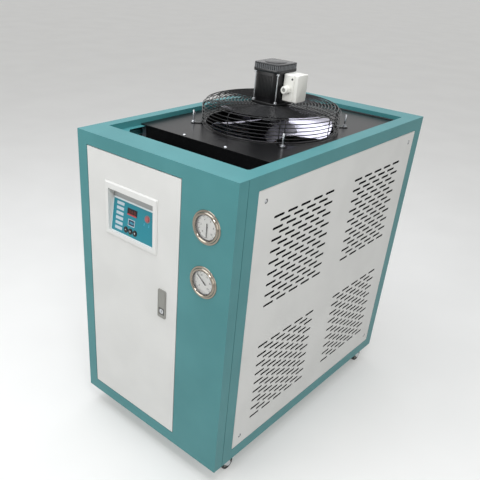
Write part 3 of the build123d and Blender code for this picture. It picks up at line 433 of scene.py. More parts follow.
cap_enamel = moulded("dusty_cap_enamel", "#191A1C", 0.22, 1.5 * MM, 0.03 * MM)
# Painted highlight: the cap's bars are a lighter grey where their edges catch the light.
cap_bar_highlight = moulded("cap_bar_highlight_grey", "#6C6E70", 0.34)
bezel_plastic = moulded("painted_bezel_steel", "#DDDDDA", 0.44)
# Pale grey paint of the slope plate, darkened further as painted shade of the recess under the
# bezel.
plate_grey_and_shade = moulded("grey_plate_and_recess_shade", "#9D9F9E", 0.42)
latch_plastic = moulded("grey_zamak_lacquer", "#8B8B85", 0.36)
# Black nylon of the controller and keys; the same black paints shade in holes and in the latch's
# well.
black_plastic = moulded("black_nylon_and_shade", "#161617", 0.42)
box_plastic = moulded("white_abs", "#E2E1DA", 0.36)
red_plastic = moulded("red_abs", "#A8595A", 0.34)
film = moulded("teal_overlay_film", "#11808F", 0.32, 1.2 * MM, 0.004 * MM)
film_white = moulded("white_print", "#D8E2E4", 0.34)
film_lilac = moulded("pale_grey_print", "#B9C6CE", 0.34)
film_dark = moulded("dark_blue_print", "#13324A", 0.34)
display_red = moulded("smoked_display_window", "#1E0608", 0.14)
segment_red = moulded("display_segment", "#7C1518", 0.3)
# Black foam of the tank and door gasket; the same black paints the shadow along the deck's edges.
foam = moulded("closed_cell_foam_and_shade", "#1B1B1C", 0.85, 1.5 * MM, 0.2 * MM)
# Black rubber of the caster treads; the same black paints the shadow ring inside each gauge bezel.
rubber = moulded("hard_rubber_and_shade", "#2A2A2B", 0.6, 1.0 * MM, 0.05 * MM)
dial_white = moulded("dial_enamel", "#E6E6E2", 0.5)
dial_black = moulded("dial_print", "#1B1B1D", 0.5)
rubber_grey = moulded("grey_gland_rubber", "#8E8E8A", 0.6)
film_pale = moulded("pale_blue_print", "#3F9FB8", 0.34)
film_green = moulded("green_print", "#2E9A63", 0.34)
strip_red = moulded("red_display_strip", "#B5353A", 0.3)
ring_red = moulded("red_key_ring", "#8F6A6C", 0.36)


# %% [markdown]
# ## Painted shade behind the slots, and clear glass
# A black sheet paints the shade that lies behind the panels' slots. Bands of a wave texture give it
# a thread-like relief, coarser than real threads so that they show. The gauge windows are plain
# glass, wavy only a little.


# %% Painted shade behind the slots, and clear glass
def slot_shade_material(name):
    material, tree, shader, place = start_material(name, "#08080A", 0.9, Specular_IOR_Level=0.1)
    threads = add_node(
        tree,
        "ShaderNodeTexWave",
        {"Vector": place, "Scale": 1 / (6 * MM), "Distortion": 0.0},
        bands_direction="Z",
    )
    relief = add_node(
        tree, "ShaderNodeBump", {"Height": threads.outputs["Fac"], "Distance": 0.2 * MM}
    )
    tree.links.new(relief.outputs["Normal"], shader.inputs["Normal"])
    return material


slot_shade_black = slot_shade_material("black_slot_shade")


def clear_glass(name):
    material, tree, shader, place = start_material(name, "#FFFFFF", 0.03, Transmission_Weight=1.0)
    shader.inputs["IOR"].default_value = 1.45
    roughen(tree, shader, place, 40 * MM, 0.01 * MM)
    return material


gauge_glass = clear_glass("gauge_window_glass")

# %% [markdown]
# ## Finishes of the nodes that stay
# Each node of the frame gets the finish of the real piece, by its name. The partition wall's black
# is painted shade.

# %% Finishes of the nodes that stay
finishes = {
    teal_coat: ["base_pan", "front_fascia", "left_frame", "right_frame", "top_frame"],
    white_coat: ["right_panel", "left_panel", "rear_panel", "door"],
    foam: ["water_tank", "door_gasket"],
    zinc: [
        "hinge_pins",
        "lock_cylinder",
        "lock_cam",
        "guard_studs",
        "tie_rods",
        "fan_shaft",
        "caster_plates",
    ],
    bezel_plastic: ["control_bezel"],
    black_plastic: [
        "controller_case",
        "key_down",
        "key_set",
        "key_up",
        "terminal_gland",
        "contactors",
        "power_gland",
    ],
    film: ["control_overlay"],
    display_red: ["display_window"],
    red_plastic: ["power_key", "drain_lever"],
    latch_plastic: ["latch_housing", "latch_handle"],
    stainless: ["gauge_cases"],
    dial_white: ["gauge_dials"],
    gauge_glass: ["gauge_lenses"],
    dial_black: ["lower_pointer", "upper_pointer"],
    # The partition wall's black is painted shade, where the gap in front of the deck shows dark.
    deck_enamel_and_shade: ["fan_deck", "partition_wall"],
    wire_enamel: ["fan_guard", "fan_impeller"],
    motor_enamel: ["fan_motor", "motor_cap", "compressor", "water_pump"],
    box_plastic: ["terminal_box"],
    fins_metal: ["right_condenser", "left_condenser"],
    copper: ["refrigerant_line"],
    brass: ["water_nipples", "drain_valve"],
}
for place in ("front_left", "front_right", "rear_left", "rear_right"):
    finishes[zinc].append(f"caster_fork_{place}")
    finishes.setdefault(rubber, []).append(f"caster_wheel_{place}")
for material, names in finishes.items():
    for name in names:
        nodes[name].data.materials.clear()
        nodes[name].data.materials.append(material)
print(sum(len(names) for names in finishes.values()), "nodes have a finish")

# %% [markdown]
# ## Slotted side panels
# A turret punch makes each panel: four groups of seventeen staggered rows. The sheet is a filled
# flat curve whose inner loops are the slots, thickened a little, with its folded rim added.

# %% Slotted side panels
panel_low, panel_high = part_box("right_panel")
front_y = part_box("front_fascia")[0].y
base_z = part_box("base_pan")[0].z
SHEET = 0.9 * MM
SLOT_L, SLOT_H = 49.0 * MM, 7.9 * MM
SLOT_PITCH, ROW_PITCH, ROWS, IN_ROW = 63.2 * MM, 17.15 * MM, 17, 5
GROUP_Y = [front_y + d * MM for d in (311, 731)]
GROUP_Z = [base_z + d * MM for d in (264, 681)]
DIMPLE_R = 7 * MM
PANEL_SCREWS = [
    (front_y + along * MM, base_z + up * MM) for along in (116.6, 924.6) for up in (79.0, 875.0)
]


def add_loop(curve, points):
    """Adds one closed loop of straight runs to a flat curve."""
    loop = curve.splines.new("POLY")
    loop.points.add(len(points) - 1)
    for point, (u, v) in zip(loop.points, points):
        point.co = (u, v, 0, 1)
    loop.use_cyclic_u = True


def slot_outline(u, v):
    """A round-ended slot: half a circle at each end."""
    half, radius = (SLOT_L - SLOT_H) / 2, SLOT_H / 2
    outline = []
    for side in (1, -1):
        for step in range(4):
            angle = -math.pi / 2 + math.pi * step / 3
            outline.append(
                (u + side * (half + radius * math.cos(angle)), v + side * radius * math.sin(angle))
            )
    return outline


def slotted_panel(name, outer_x, outward, body_node):
    """One panel: its punched sheet lies just inside outer_x, and its rim runs inwards."""
    curve = bpy.data.curves.new(name, "CURVE")
    curve.dimensions = "2D"
    curve.fill_mode = "BOTH"
    curve.extrude = SHEET / 2 - 0.25 * MM
    curve.bevel_depth = 0.25 * MM
    curve.bevel_resolution = 1
    inset = 1.5 * MM
    y0, y1 = panel_low.y + inset, panel_high.y - inset
    z0, z1 = panel_low.z + inset, panel_high.z - inset
    add_loop(curve, [(y0, z0), (y1, z0), (y1, z1), (y0, z1)])
    count = 0
    for group_y in GROUP_Y:
        for group_z in GROUP_Z:
            for row in range(ROWS):
                in_row = IN_ROW - row % 2
                v = group_z + (row - (ROWS - 1) / 2) * ROW_PITCH
                for k in range(in_row):
                    add_loop(curve, slot_outline(group_y + (k - (in_row - 1) / 2) * SLOT_PITCH, v))
                    count += 1
    for y, z in PANEL_SCREWS:
        hole = [math.tau * step / 24 for step in range(24)]
        add_loop(curve, [(y + DIMPLE_R * math.cos(a), z + DIMPLE_R * math.sin(a)) for a in hole])
    sheet = bpy.data.objects.new(name, curve)
    bpy.context.scene.collection.objects.link(sheet)
    only(sheet)
    bpy.ops.object.convert(target="MESH")
    sheet.matrix_world = Matrix(
        ((0, 0, 1, outer_x - outward * SHEET / 2), (1, 0, 0, 0), (0, 1, 0, 0), (0, 0, 0, 1))
    )
    settle(sheet)
    depth = panel_high.x - panel_low.x
    rim = block(
        (min(outer_x, outer_x - outward * depth), panel_low.y, panel_low.z),
        (max(outer_x, outer_x - outward * depth), panel_high.y, panel_high.z),
    )
    bpy.ops.object.mode_set(mode="EDIT")
    bpy.ops.mesh.select_all(action="DESELECT")
    shape = bmesh.from_edit_mesh(rim.data)
    for face in shape.faces:
        face.select = face.normal.x * outward < -0.9
    bpy.ops.mesh.delete(type="FACE")
    shape = bmesh.from_edit_mesh(rim.data)
    for face in shape.faces:
        face.select = face.normal.x * outward > 0.9
    bpy.ops.mesh.inset(thickness=2 * inset)
    bpy.ops.mesh.delete(type="FACE")
    bpy.ops.object.mode_set(mode="OBJECT")
    soften(rim, 1.5 * MM, 3, 60)
    wall = rim.modifiers.new("wall", "SOLIDIFY")
    wall.thickness = SHEET
    wall.offset = -1
    only(rim)
    bpy.ops.object.modifier_apply(modifier=wall.name)
    panel = joined(name, [sheet, rim])
    print(name, count, "slots,", len(panel.data.polygons), "faces")
    return dress(panel, "cabinet", "white_powder_coat", white_coat, body_node)


slotted_panel("right_slotted_panel", panel_high.x, 1, "right_panel")
slotted_panel("left_slotted_panel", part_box("left_panel")[0].x, -1, "left_panel")


# %% [markdown]
# ## Shade behind the slots
# Behind the slots the real one is black, as the coil there lies in shade; a black sheet paints that
# shade. The sheet is stretched on a thin frame that clips inside the panel: an inset block face,
# pushed in to leave the frame proud.


# %% Shade behind the slots: a black sheet of painted shade
def slot_shade_sheet(name, inner_x, outward):
    """A framed black sheet just inside the panel's sheet: painted shade behind the slots."""
    y0, y1 = GROUP_Y[0] - 175 * MM, GROUP_Y[1] + 175 * MM
    z0, z1 = GROUP_Z[0] - 170 * MM, GROUP_Z[1] + 170 * MM
    net = block(
        (min(inner_x, inner_x - outward * 3 * MM), y0, z0),
        (max(inner_x, inner_x - outward * 3 * MM), y1, z1),
    )
    pick(net, "FACE", lambda face: face.normal.x * outward > 0.9)
    bpy.ops.mesh.inset(thickness=8 * MM)
    bpy.ops.transform.translate(value=(-outward * 1.2 * MM, 0, 0))
    bpy.ops.object.mode_set(mode="OBJECT")
    soften(net, 0.4 * MM, 2)
    net.name = name
    return dress(net, "cabinet", "black_plastic", slot_shade_black)


slot_shade_sheet("right_slot_shade_sheet", panel_high.x - 4 * MM, 1)
slot_shade_sheet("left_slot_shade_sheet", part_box("left_panel")[0].x + 4 * MM, -1)

# %% [markdown]
# ## Fan guard
# The guard is a spot-welded basket of black wire: rings over the top, six rings round the
# side, and ribs bent over the shoulder, in pairs at the feet. Each ring is a torus, and each rib
# is a wire along a bent path.

# %% Fan guard
guard_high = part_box("fan_guard")[1]
deck_low, deck_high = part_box("fan_deck")
studs_low, studs_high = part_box("guard_studs")
fan_centre = (studs_low + studs_high) / 2
deck_z = deck_high.z
WIRE = 1.5 * MM
GUARD_R, GUARD_SHOULDER = 217 * MM, 14 * MM
PLATE_R, TOP_RINGS, SIDE_RINGS = 66 * MM, 14, 6
RIB_GAP = 16 * MM
DIAGONALS = [math.radians(45 + 90 * k) for k in range(4)]
guard_top_z = guard_high.z - WIRE
guard_foot_z = deck_z + 4 * MM
guard_parts = []
for k in range(SIDE_RINGS):
    z = guard_foot_z + (guard_top_z - GUARD_SHOULDER - guard_foot_z) * k / (SIDE_RINGS - 1)
    guard_parts.append(ring((fan_centre.x, fan_centre.y, z), GUARD_R, WIRE))
for k in range(TOP_RINGS):
    radius = PLATE_R + (GUARD_R - GUARD_SHOULDER * 0.7 - PLATE_R) * (k + 1) / TOP_RINGS
    drop = 0 if k < TOP_RINGS - 1 else 3 * MM
    guard_parts.append(ring((fan_centre.x, fan_centre.y, guard_top_z - drop), radius, WIRE))


def rib(angle, offset):
    """One rib: up the side, over the shoulder and in under the rings to the motor plate."""
    radius = GUARD_R - 2 * WIRE
    path = [(radius, guard_foot_z - WIRE), (radius, guard_top_z - GUARD_SHOULDER)]
    for step in range(1, 6):
        turn = math.pi / 2 * step / 5
        path.append(
            (
                radius - GUARD_SHOULDER * (1 - math.cos(turn)),
                guard_top_z - GUARD_SHOULDER + (GUARD_SHOULDER - 2 * WIRE) * math.sin(turn),
            )
        )
    path.append((PLATE_R - 4 * MM, guard_top_z - 2 * WIRE))
    across = Vector((-math.sin(angle), math.cos(angle), 0)) * offset
    out = Vector((math.cos(angle), math.sin(angle), 0))
    base = Vector((fan_centre.x, fan_centre.y, 0)) + across
    return wire([base + out * r + Vector((0, 0, z)) for r, z in path], WIRE)


for diagonal in DIAGONALS:
    guard_parts += [rib(diagonal, -RIB_GAP / 2), rib(diagonal, RIB_GAP / 2)]
    guard_parts.append(rib(diagonal + math.radians(45), 0))
PLATE_HOLE_R = 38 * MM
plate = turned(
    [
        (PLATE_HOLE_R, guard_high.z - 3 * MM),
        (PLATE_HOLE_R, guard_high.z),
        (PLATE_R - 1 * MM, guard_high.z),
        (PLATE_R, guard_high.z - 1 * MM),
        (PLATE_R, guard_high.z - 3 * MM),
        (PLATE_HOLE_R, guard_high.z - 3 * MM),
    ],
    (fan_centre.x, fan_centre.y, 0),
)
guard_parts.append(plate)
FOOT_IN, FOOT_OUT, FOOT_W, FOOT_H = 208 * MM, 252 * MM, 24 * MM, 2.5 * MM
for diagonal in DIAGONALS:
    foot = block((FOOT_IN, -FOOT_W / 2, 0), (FOOT_OUT, FOOT_W / 2, FOOT_H))
    soften(foot, 1 * MM, 2)
    foot.rotation_euler.z = diagonal
    foot.location = (fan_centre.x, fan_centre.y, deck_z)
    guard_parts.append(settle(foot))
guard = smooth(joined("fan_guard_basket", guard_parts), 50)
dress(guard, "cabinet", "black_enamel", wire_enamel, "fan_guard")
print("guard:", len(guard.data.polygons), "faces")

# %% [markdown]
# ## Studs and nuts
# The guard stands on four long studs through its feet, each with a washer and a hexagon nut. A nut
# is a six-sided bar with its corners turned off, made once and copied to its places.


# %% Nuts and studs
def hex_nut(foot, across, height):
    """A hexagon nut that stands on foot, its corners turned to a slight cone."""
    x, y, z = foot
    nut = rod((x, y, z), (x, y, z + height), across / math.sqrt(3), 6)
    washer = rod((x, y, z), (x, y, z + height * 0.18), across * 0.72, 24)
    return joined("nut", [soften(nut, across * 0.07, 2, 40), soften(washer, 0.2 * MM, 2)])


STUD_CIRCLE, STUD_TOP = 244 * MM, studs_high.z
foot_top = deck_z + FOOT_H
stud = rod((STUD_CIRCLE, 0, deck_z), (STUD_CIRCLE, 0, STUD_TOP - 0.2 * MM), 2.9 * MM, 24)
soften(stud, 0.8 * MM, 2)
stud_nut = hex_nut((STUD_CIRCLE, 0, foot_top), 10 * MM, 5 * MM)
pattern = joined("stud", [stud, stud_nut])
centre = Vector((fan_centre.x, fan_centre.y, 0))
studs = [copied(pattern, centre, diagonal) for diagonal in DIAGONALS]
removed(pattern)
dress(joined("guard_stud_set", studs), "cabinet", "zinc_steel", zinc, "guard_studs")
print("4 studs, top at", round(STUD_TOP, 4))

# %% [markdown]
# ## Fan motor
# A small external-rotor fan would hang below. This one is a square-flanged motor that stands on the
# guard: end shield, ribbed stator, slotted cap, and four tie rods that clamp them together.

# %% Fan motor
cap_low, cap_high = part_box("motor_cap")
rods_low, rods_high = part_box("tie_rods")
plate_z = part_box("fan_motor")[0].z
flange_z = rods_low.z
half = (cap_high.x - cap_low.x) / 2
cx, cy = fan_centre.x, fan_centre.y


def square_block(half_width, z0, z1, corner, edge=0.6 * MM):
    """A block centred on the fan's shaft, with its upright edges rounded."""
    low, high = (cx - half_width, cy - half_width, z0), (cx + half_width, cy + half_width, z1)
    return rounded_block(low, high, corner, edge)


def stand(bar, angle, place):
    """Turns a bar made at the origin about the upright and puts it in its place."""
    bar.rotation_euler.z = angle
    bar.location = (*place, 0)
    return settle(bar)


flange = square_block(half, plate_z, flange_z, 13 * MM, 1 * MM)
STATOR_HALF, STATOR_CORNER = 47 * MM, 26 * MM
stator = square_block(STATOR_HALF, flange_z, cap_low.z, STATOR_CORNER, 0.5 * MM)
RIB_PITCH, RIBS_A_SIDE = 5.4 * MM, 9
stator_ribs = []
for side in range(4):
    for k in range(RIBS_A_SIDE):
        along = (k - (RIBS_A_SIDE - 1) / 2) * RIB_PITCH
        on_flat = abs(along) < STATOR_HALF - STATOR_CORNER + 1 * MM
        edge = STATOR_HALF if on_flat else STATOR_HALF - 0.4 * MM
        rib_bar = block(
            (edge - 2 * MM, along - 1.2 * MM, flange_z + 14 * MM),
            (edge + 0.8 * MM, along + 1.2 * MM, cap_low.z - 9 * MM),
        )
        stator_ribs.append(soften(stand(rib_bar, math.pi / 2 * side, (cx, cy)), 0.3 * MM, 1))
box_low, box_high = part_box("terminal_box")
pad = rounded_block(
    (cx + 24 * MM, (box_low.y + box_high.y) / 2 - 18 * MM, box_low.z + 12 * MM),
    (box_low.x, (box_low.y + box_high.y) / 2 + 18 * MM, box_high.z - 12 * MM),
    4 * MM,
    upright="X",
)
motor = joined("fan_motor_stator", [flange, stator, *stator_ribs, pad])
dress(motor, "cabinet", "motor_enamel", motor_enamel, "fan_motor")
print("motor", round((cap_low.z - plate_z) * 1000), "mm high")

# %% [markdown]
# ## Motor cap
# The cap is a pressed square cover over the cooling blades. Its upper half is a grille of upright
# bars, so the piece is a recessed core, a plain band below, a lid above, and bars copied round it.

# %% Motor cap
cap_top = cap_high.z - 2 * MM
band = square_block(half, cap_low.z, cap_low.z + 9 * MM, 13 * MM, 1 * MM)
core = square_block(half - 3 * MM, cap_low.z, cap_top - 1 * MM, 11 * MM)
lid = square_block(half, cap_top - 4 * MM, cap_top, 15 * MM, 1.6 * MM)
disc = turned(
    [
        (0, cap_top - 1 * MM),
        (34 * MM, cap_top - 1 * MM),
        (33 * MM, cap_top + 1.2 * MM),
        (30 * MM, cap_top + 1.9 * MM),
        (0, cap_top + 1.9 * MM),
    ],
    (cx, cy, 0),
)
BAR_PITCH, BARS, CAP_CORNER = 7 * MM, 11, 14.5 * MM
BAR_FOOT, BAR_TOP, BAR_HALF = cap_low.z + 8 * MM, cap_top - 3 * MM, 1.5 * MM
bars = []
for side in range(4):
    for k in range(BARS):
        along = (k - (BARS - 1) / 2) * BAR_PITCH
        bar = block(
            (half - 3.5 * MM, along - BAR_HALF, BAR_FOOT),
            (half - 0.2 * MM, along + BAR_HALF, BAR_TOP),
        )
        bars.append(stand(bar, math.pi / 2 * side, (cx, cy)))
for side in range(4):
    for tilt in (-24, 0, 24):
        bar = block(
            (CAP_CORNER - 4 * MM, -BAR_HALF, BAR_FOOT), (CAP_CORNER - 0.5 * MM, BAR_HALF, BAR_TOP)
        )
        reach = (half - CAP_CORNER) * math.sqrt(2)
        angle = math.pi / 4 + math.pi / 2 * side
        place = (cx + reach * math.cos(angle), cy + reach * math.sin(angle))
        bars.append(stand(bar, angle + math.radians(tilt), place))
core.name = "motor_cap_core"
dress(core, "cabinet", "motor_enamel", motor_enamel)
# The bars' lighter grey is painted highlight on their edges.
dress(joined("motor_cap_bars", bars), "cabinet", "motor_enamel", cap_bar_highlight)
cap = joined("motor_cap_grille", [band, lid, smooth(disc, 30)])
dress(cap, "cabinet", "motor_enamel", cap_enamel, "motor_cap")
print("cap with", BARS, "bars to a side")

# %% [markdown]
# ## Tie rods
# Bright rods run up the motor's corners from the flange to the cap, with a nut at each end.

# %% Tie rods
ROD_AT = (rods_high.x - rods_low.x) / 2 - 2.5 * MM
rod_parts = []
for sx in (-1, 1):
    for sy in (-1, 1):
        x, y = cx + sx * ROD_AT, cy + sy * ROD_AT
        rod_parts.append(smooth(rod((x, y, flange_z), (x, y, cap_low.z), 1.8 * MM, 16)))
        rod_parts.append(hex_nut((x, y, flange_z), 8 * MM, 5 * MM))
        rod_parts.append(hex_nut((x, y, cap_low.z - 5 * MM), 8 * MM, 5 * MM))
dress(joined("tie_rod_set", rod_parts), "cabinet", "zinc_steel", zinc, "tie_rods")

# %% [markdown]
# ## Terminal box
# The capacitor and the leads sit in a moulded white box with a screwed lid. The lid is a second
# rounded block a little off the body, so a dark seam runs round the box as on the real one.

# %% Terminal box
LID_X = box_high.x - 14 * MM
shell_end = (LID_X - 0.8 * MM, box_high.y, box_high.z)
shell = rounded_block(box_low, shell_end, 5 * MM, 0.8 * MM, "X")
neck = rounded_block(
    (LID_X - 2 * MM, box_low.y + 1.5 * MM, box_low.z + 1.5 * MM),
    (LID_X + 2 * MM, box_high.y - 1.5 * MM, box_high.z - 1.5 * MM),
    4 * MM,
    0.3 * MM,
    "X",
)
lid = rounded_block((LID_X, box_low.y, box_low.z), box_high, 5 * MM, 2.4 * MM, "X")
terminal = joined("terminal_box_shell", [shell, neck, lid])
dress(terminal, "cabinet", "white_plastic", box_plastic, "terminal_box")

# %% Holes and screws of the terminal box; the hole's black is painted shade
hole_x, hole_z = box_low.x + 29 * MM, box_high.z - 13 * MM
hole_foot = (hole_x, box_low.y + 1.5 * MM, hole_z)
# The cable hole is a black disc: painted shade inside the hole.
marks = [rod(hole_foot, (hole_x, box_low.y - 0.1 * MM, hole_z), 3.4 * MM, 24)]
for dy in (-1, 1):
    for dz in (-1, 1):
        y = (box_low.y + box_high.y) / 2 + dy * 20 * MM
        z = (box_low.z + box_high.z) / 2 + dz * 33 * MM
        foot, head = (box_high.x - 1.5 * MM, y, z), (box_high.x - 0.05 * MM, y, z)
        marks.append(rod(foot, head, 2.6 * MM, 20))
for mark in marks:
    soften(mark, 0.3 * MM)
dress(joined("terminal_box_hole_shade_and_screws", marks), "cabinet", "black_plastic", black_plastic)

# %% Cable gland of the terminal box
gland_low, gland_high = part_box("terminal_gland")
gx, gz = (gland_low.x + gland_high.x) / 2, (gland_low.z + gland_high.z) / 2
gland_nut = rod((gx, gland_high.y, gz), (gx, gland_high.y - 7 * MM, gz), 14 * MM, 6)
gland_dome = turned(
    [
        (5 * MM, 2 * MM),
        (6 * MM, 19.6 * MM),
        (9 * MM, 19.8 * MM),
        (11 * MM, 18.4 * MM),
        (12 * MM, 15 * MM),
        (12 * MM, 6.8 * MM),
        (10.5 * MM, 6.4 * MM),
        (5 * MM, 2 * MM),
    ],
    (gx, gland_high.y, gz),
    "-Y",
    48,
)
gland = joined("terminal_gland_dome", [soften(gland_nut, 1.2 * MM, 3, 40), smooth(gland_dome, 30)])
dress(gland, "cabinet", "white_plastic", box_plastic, "terminal_gland")
plug = rod((gx, gland_high.y - 3 * MM, gz), (gx, gland_high.y - 17 * MM, gz), 5.8 * MM, 24)
dress(soften(plug, 0.5 * MM), "cabinet", "black_plastic", rubber_grey)
plug.name = "terminal_gland_seal"

# %% [markdown]
# ## Impeller
# Five pressed blades are riveted to a round black hub. Their pale metal colour is painted light, a
# bright stand-in for the lit region seen past them. A blade is a grid whose rows run from the root
# to the tip: each row is cambered, less steep towards the tip, and swept back a little.

# %% Impeller
hub_low, hub_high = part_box("fan_impeller")
blade_z = (hub_low.z + hub_high.z) / 2
BLADE_TURN = 0.5  # of a pitch, from the X axis
BLADES, ROOT_R, TIP_R = 5, 56 * MM, 196 * MM
blade_parts = []
for k in range(BLADES):
    bpy.ops.mesh.primitive_grid_add(x_subdivisions=14, y_subdivisions=12, size=2)
    blade = bpy.context.object
    for vert in blade.data.vertices:
        s, t = vert.co.x, (vert.co.y + 1) / 2
        radius = ROOT_R + (TIP_R - ROOT_R) * (t - 0.05 * s * s * t)
        pitch = math.radians(40 - 14 * t)
        reach = (38 + 20 * t - 8 * t * t) * MM * s
        camber = 11 * MM * (1 - s * s)
        angle = (
            math.tau * (k + BLADE_TURN) / BLADES
            - 0.12 * t * t
            + (reach * math.cos(pitch) - camber * math.sin(pitch)) / radius
        )
        vert.co = (
            cx + radius * math.cos(angle),
            cy + radius * math.sin(angle),
            blade_z + reach * math.sin(pitch) + camber * math.cos(pitch) - 4 * MM,
        )
    wall = blade.modifiers.new("wall", "SOLIDIFY")
    wall.thickness = 2 * MM
    wall.offset = 0
    only(blade)
    bpy.ops.object.modifier_apply(modifier=wall.name)
    blade_parts.append(smooth(blade, 40))
hub = turned(
    [
        (7.1 * MM, hub_low.z),
        (50 * MM, hub_low.z),
        (58 * MM, hub_low.z + 4 * MM),
        (61 * MM, hub_low.z + 12 * MM),
        (61 * MM, hub_high.z - 9 * MM),
        (56 * MM, hub_high.z - 3 * MM),
        (20 * MM, hub_high.z - 3 * MM),
        (18 * MM, hub_high.z),
        (7.1 * MM, hub_high.z),
        (7.1 * MM, hub_low.z),
    ],
    (cx, cy, 0),
)
hub.name = "fan_hub"
dress(smooth(hub, 30), "fan", "black_enamel", wire_enamel)
impeller = joined("fan_blades", blade_parts)
# The blades' pale colour is painted light.
dress(impeller, "fan", "galvanised_sheet", blade_painted_light, "fan_impeller")
print("impeller:", len(impeller.data.polygons), "faces")

# %% [markdown]
# ## Deck trim
# The deck's collar ends in a small rolled lip. Bright pan-head screws hold the deck to its ledge,
# and a thin black strip on its right and rear edges is painted shadow.


# %% Screws
def pan_screw(foot, radius, height, out):
    """A pan-head screw on foot, its domed head along out."""
    head = turned(
        [
            (0, 0),
            (radius, 0),
            (radius, height * 0.35),
            (radius * 0.85, height * 0.75),
            (radius * 0.5, height * 0.97),
            (0, height),
        ],
        (0, 0, 0),
        "Z",
        24,
    )
    smooth(head, 40)
    head.rotation_euler = Vector(out).to_track_quat("Z", "Y").to_euler()
    head.location = foot
    return settle(head)


lip = turned(
    [
        (203.0 * MM, deck_z - 2 * MM),
        (203.2 * MM, deck_z + 2.5 * MM),
        (205.5 * MM, deck_z + 4 * MM),
        (208.5 * MM, deck_z + 3 * MM),
        (211.0 * MM, deck_z + 0.05 * MM),
        (203.0 * MM, deck_z - 2 * MM),
    ],
    (cx, cy, 0),
    "Z",
    128,
)
dress(smooth(lip, 60), "cabinet", "black_enamel", wire_enamel)
lip.name = "collar_lip"
# A thin black strip on the deck's right and rear edges is painted shadow, where the deck meets the
# well's wall.
shadow_strip_top = deck_z + 1.6 * MM
deck_shadow_strip = joined(
    "deck_edge_shadow_strip",
    [
        soften(block(foot, top), 0.6 * MM)
        for foot, top in (
            (
                (deck_high.x - 12 * MM, deck_low.y + 150 * MM, deck_z),
                (deck_high.x, deck_high.y, shadow_strip_top),
            ),
            (
                (deck_low.x, deck_high.y - 14 * MM, deck_z),
                (deck_high.x - 12.5 * MM, deck_high.y, shadow_strip_top),
            ),
        )
    ],
)
dress(deck_shadow_strip, "cabinet", "foam_insulation", foam)
deck_screws = []
for x in (-92, 67):
    deck_screws.append(pan_screw((x * MM, deck_low.y + 13 * MM, deck_z), 5 * MM, 3 * MM, (0, 0, 1)))
for y in (-60, 395):
    foot = (deck_low.x + 10 * MM, y * MM, deck_z)
    deck_screws.append(pan_screw(foot, 3.5 * MM, 2.4 * MM, (0, 0, 1)))
dress(joined("deck_screws", deck_screws), "cabinet", "zinc_steel", zinc)
print(len(deck_screws), "deck screws")

# %% [markdown]
# ## Panel screws
# Each slotted panel is held by four countersunk screws near its corners, dark in their dimples.

# %% Panel screws
for side, edge_x in ((1, panel_high.x), (-1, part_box("left_panel")[0].x)):
    heads, dimples = [], []
    for y, z in PANEL_SCREWS:
        cup = [(0, 0), (7.4, 0), (7.4, 0.5), (7.2, 0.5), (4.4, 0.15), (0, 0.15)]
        dimple = turned([(r * MM, h * MM) for r, h in cup], (0, 0, 0), "Z", 32)
        smooth(dimple, 30)
        dimple.rotation_euler = Vector((side, 0, 0)).to_track_quat("Z", "Y").to_euler()
        dimple.location = (edge_x - side * 1.8 * MM, y, z)
        dimples.append(settle(dimple))
        heads.append(pan_screw((edge_x - side * 1.65 * MM, y, z), 4.2 * MM, 1.5 * MM, (side, 0, 0)))
    name = "right" if side > 0 else "left"
    dress(joined(f"{name}_panel_dimples", dimples), "cabinet", "zinc_steel", screw_dark)
    dress(joined(f"{name}_panel_screws", heads), "cabinet", "zinc_steel", zinc)

# %% [markdown]
# ## Latch
# The latch's lock sits in a small square well in its lower third. The well's shade is painted as a
# dark rim, a block whose face is inset and cut out, and the key slot's shade as a thin dark rounded
# bar on the cylinder.

# %% Latch details
latch_low, latch_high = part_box("latch_housing")
lock_low, lock_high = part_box("lock_cylinder")
lock_x, lock_z = (lock_low.x + lock_high.x) / 2, (lock_low.z + lock_high.z) / 2
WELL_HALF, WELL_RIM = 10.5 * MM, 2.2 * MM
face_y = latch_low.y
# The well's dark rim is painted shade of the recess round the lock.
well = block(
    (lock_x - WELL_HALF, face_y - 0.5 * MM, lock_z - WELL_HALF),
    (lock_x + WELL_HALF, face_y + 0.2 * MM, lock_z + WELL_HALF),
)
pick(well, "FACE", lambda face: abs(face.normal.y) > 0.9)
bpy.ops.mesh.inset(thickness=WELL_RIM)
bpy.ops.mesh.bridge_edge_loops()
bpy.ops.object.mode_set(mode="OBJECT")
well.name = "latch_well_shade_rim"
dress(soften(well, 0.15 * MM, 1), "door", "black_plastic", black_plastic)
# The key slot's black is painted shade inside the keyhole.
slot = rounded_block(
    (lock_x - 0.9 * MM, face_y - 0.35 * MM, lock_z - 4 * MM),
    (lock_x + 0.9 * MM, face_y + 0.2 * MM, lock_z + 4 * MM),
    0.7 * MM,
    0.1 * MM,
    "Y",
)
slot.name = "key_slot_shade"
dress(slot, "door_lock", "black_plastic", black_plastic)
groove = rounded_block(
    (latch_low.x + 5 * MM, face_y - 0.3 * MM, latch_high.z - 13 * MM),
    (latch_high.x - 5 * MM, face_y + 0.2 * MM, latch_high.z - 10.5 * MM),
    0.8 * MM,
    0.1 * MM,
    "Y",
)
groove.name = "latch_finger_line"
dress(groove, "latch_handle", "black_plastic", rubber_grey)

# %% [markdown]
# ## Caster wheels
# A swivel caster's wheel is a grey nylon hub with a black rubber tread moulded on. Both are lathe
# forms, spun once round an upright axis, laid along the axle and copied to the four places.


# %% Caster wheels
def lathe_on_axle(profile, centre):
    """A lathe form laid with its axis along X."""
    form = turned([(r * MM, h * MM) for r, h in profile], (0, 0, 0), "Z", 48)
    form.rotation_euler.y = math.pi / 2
    form.location = centre
    return smooth(settle(form), 40)


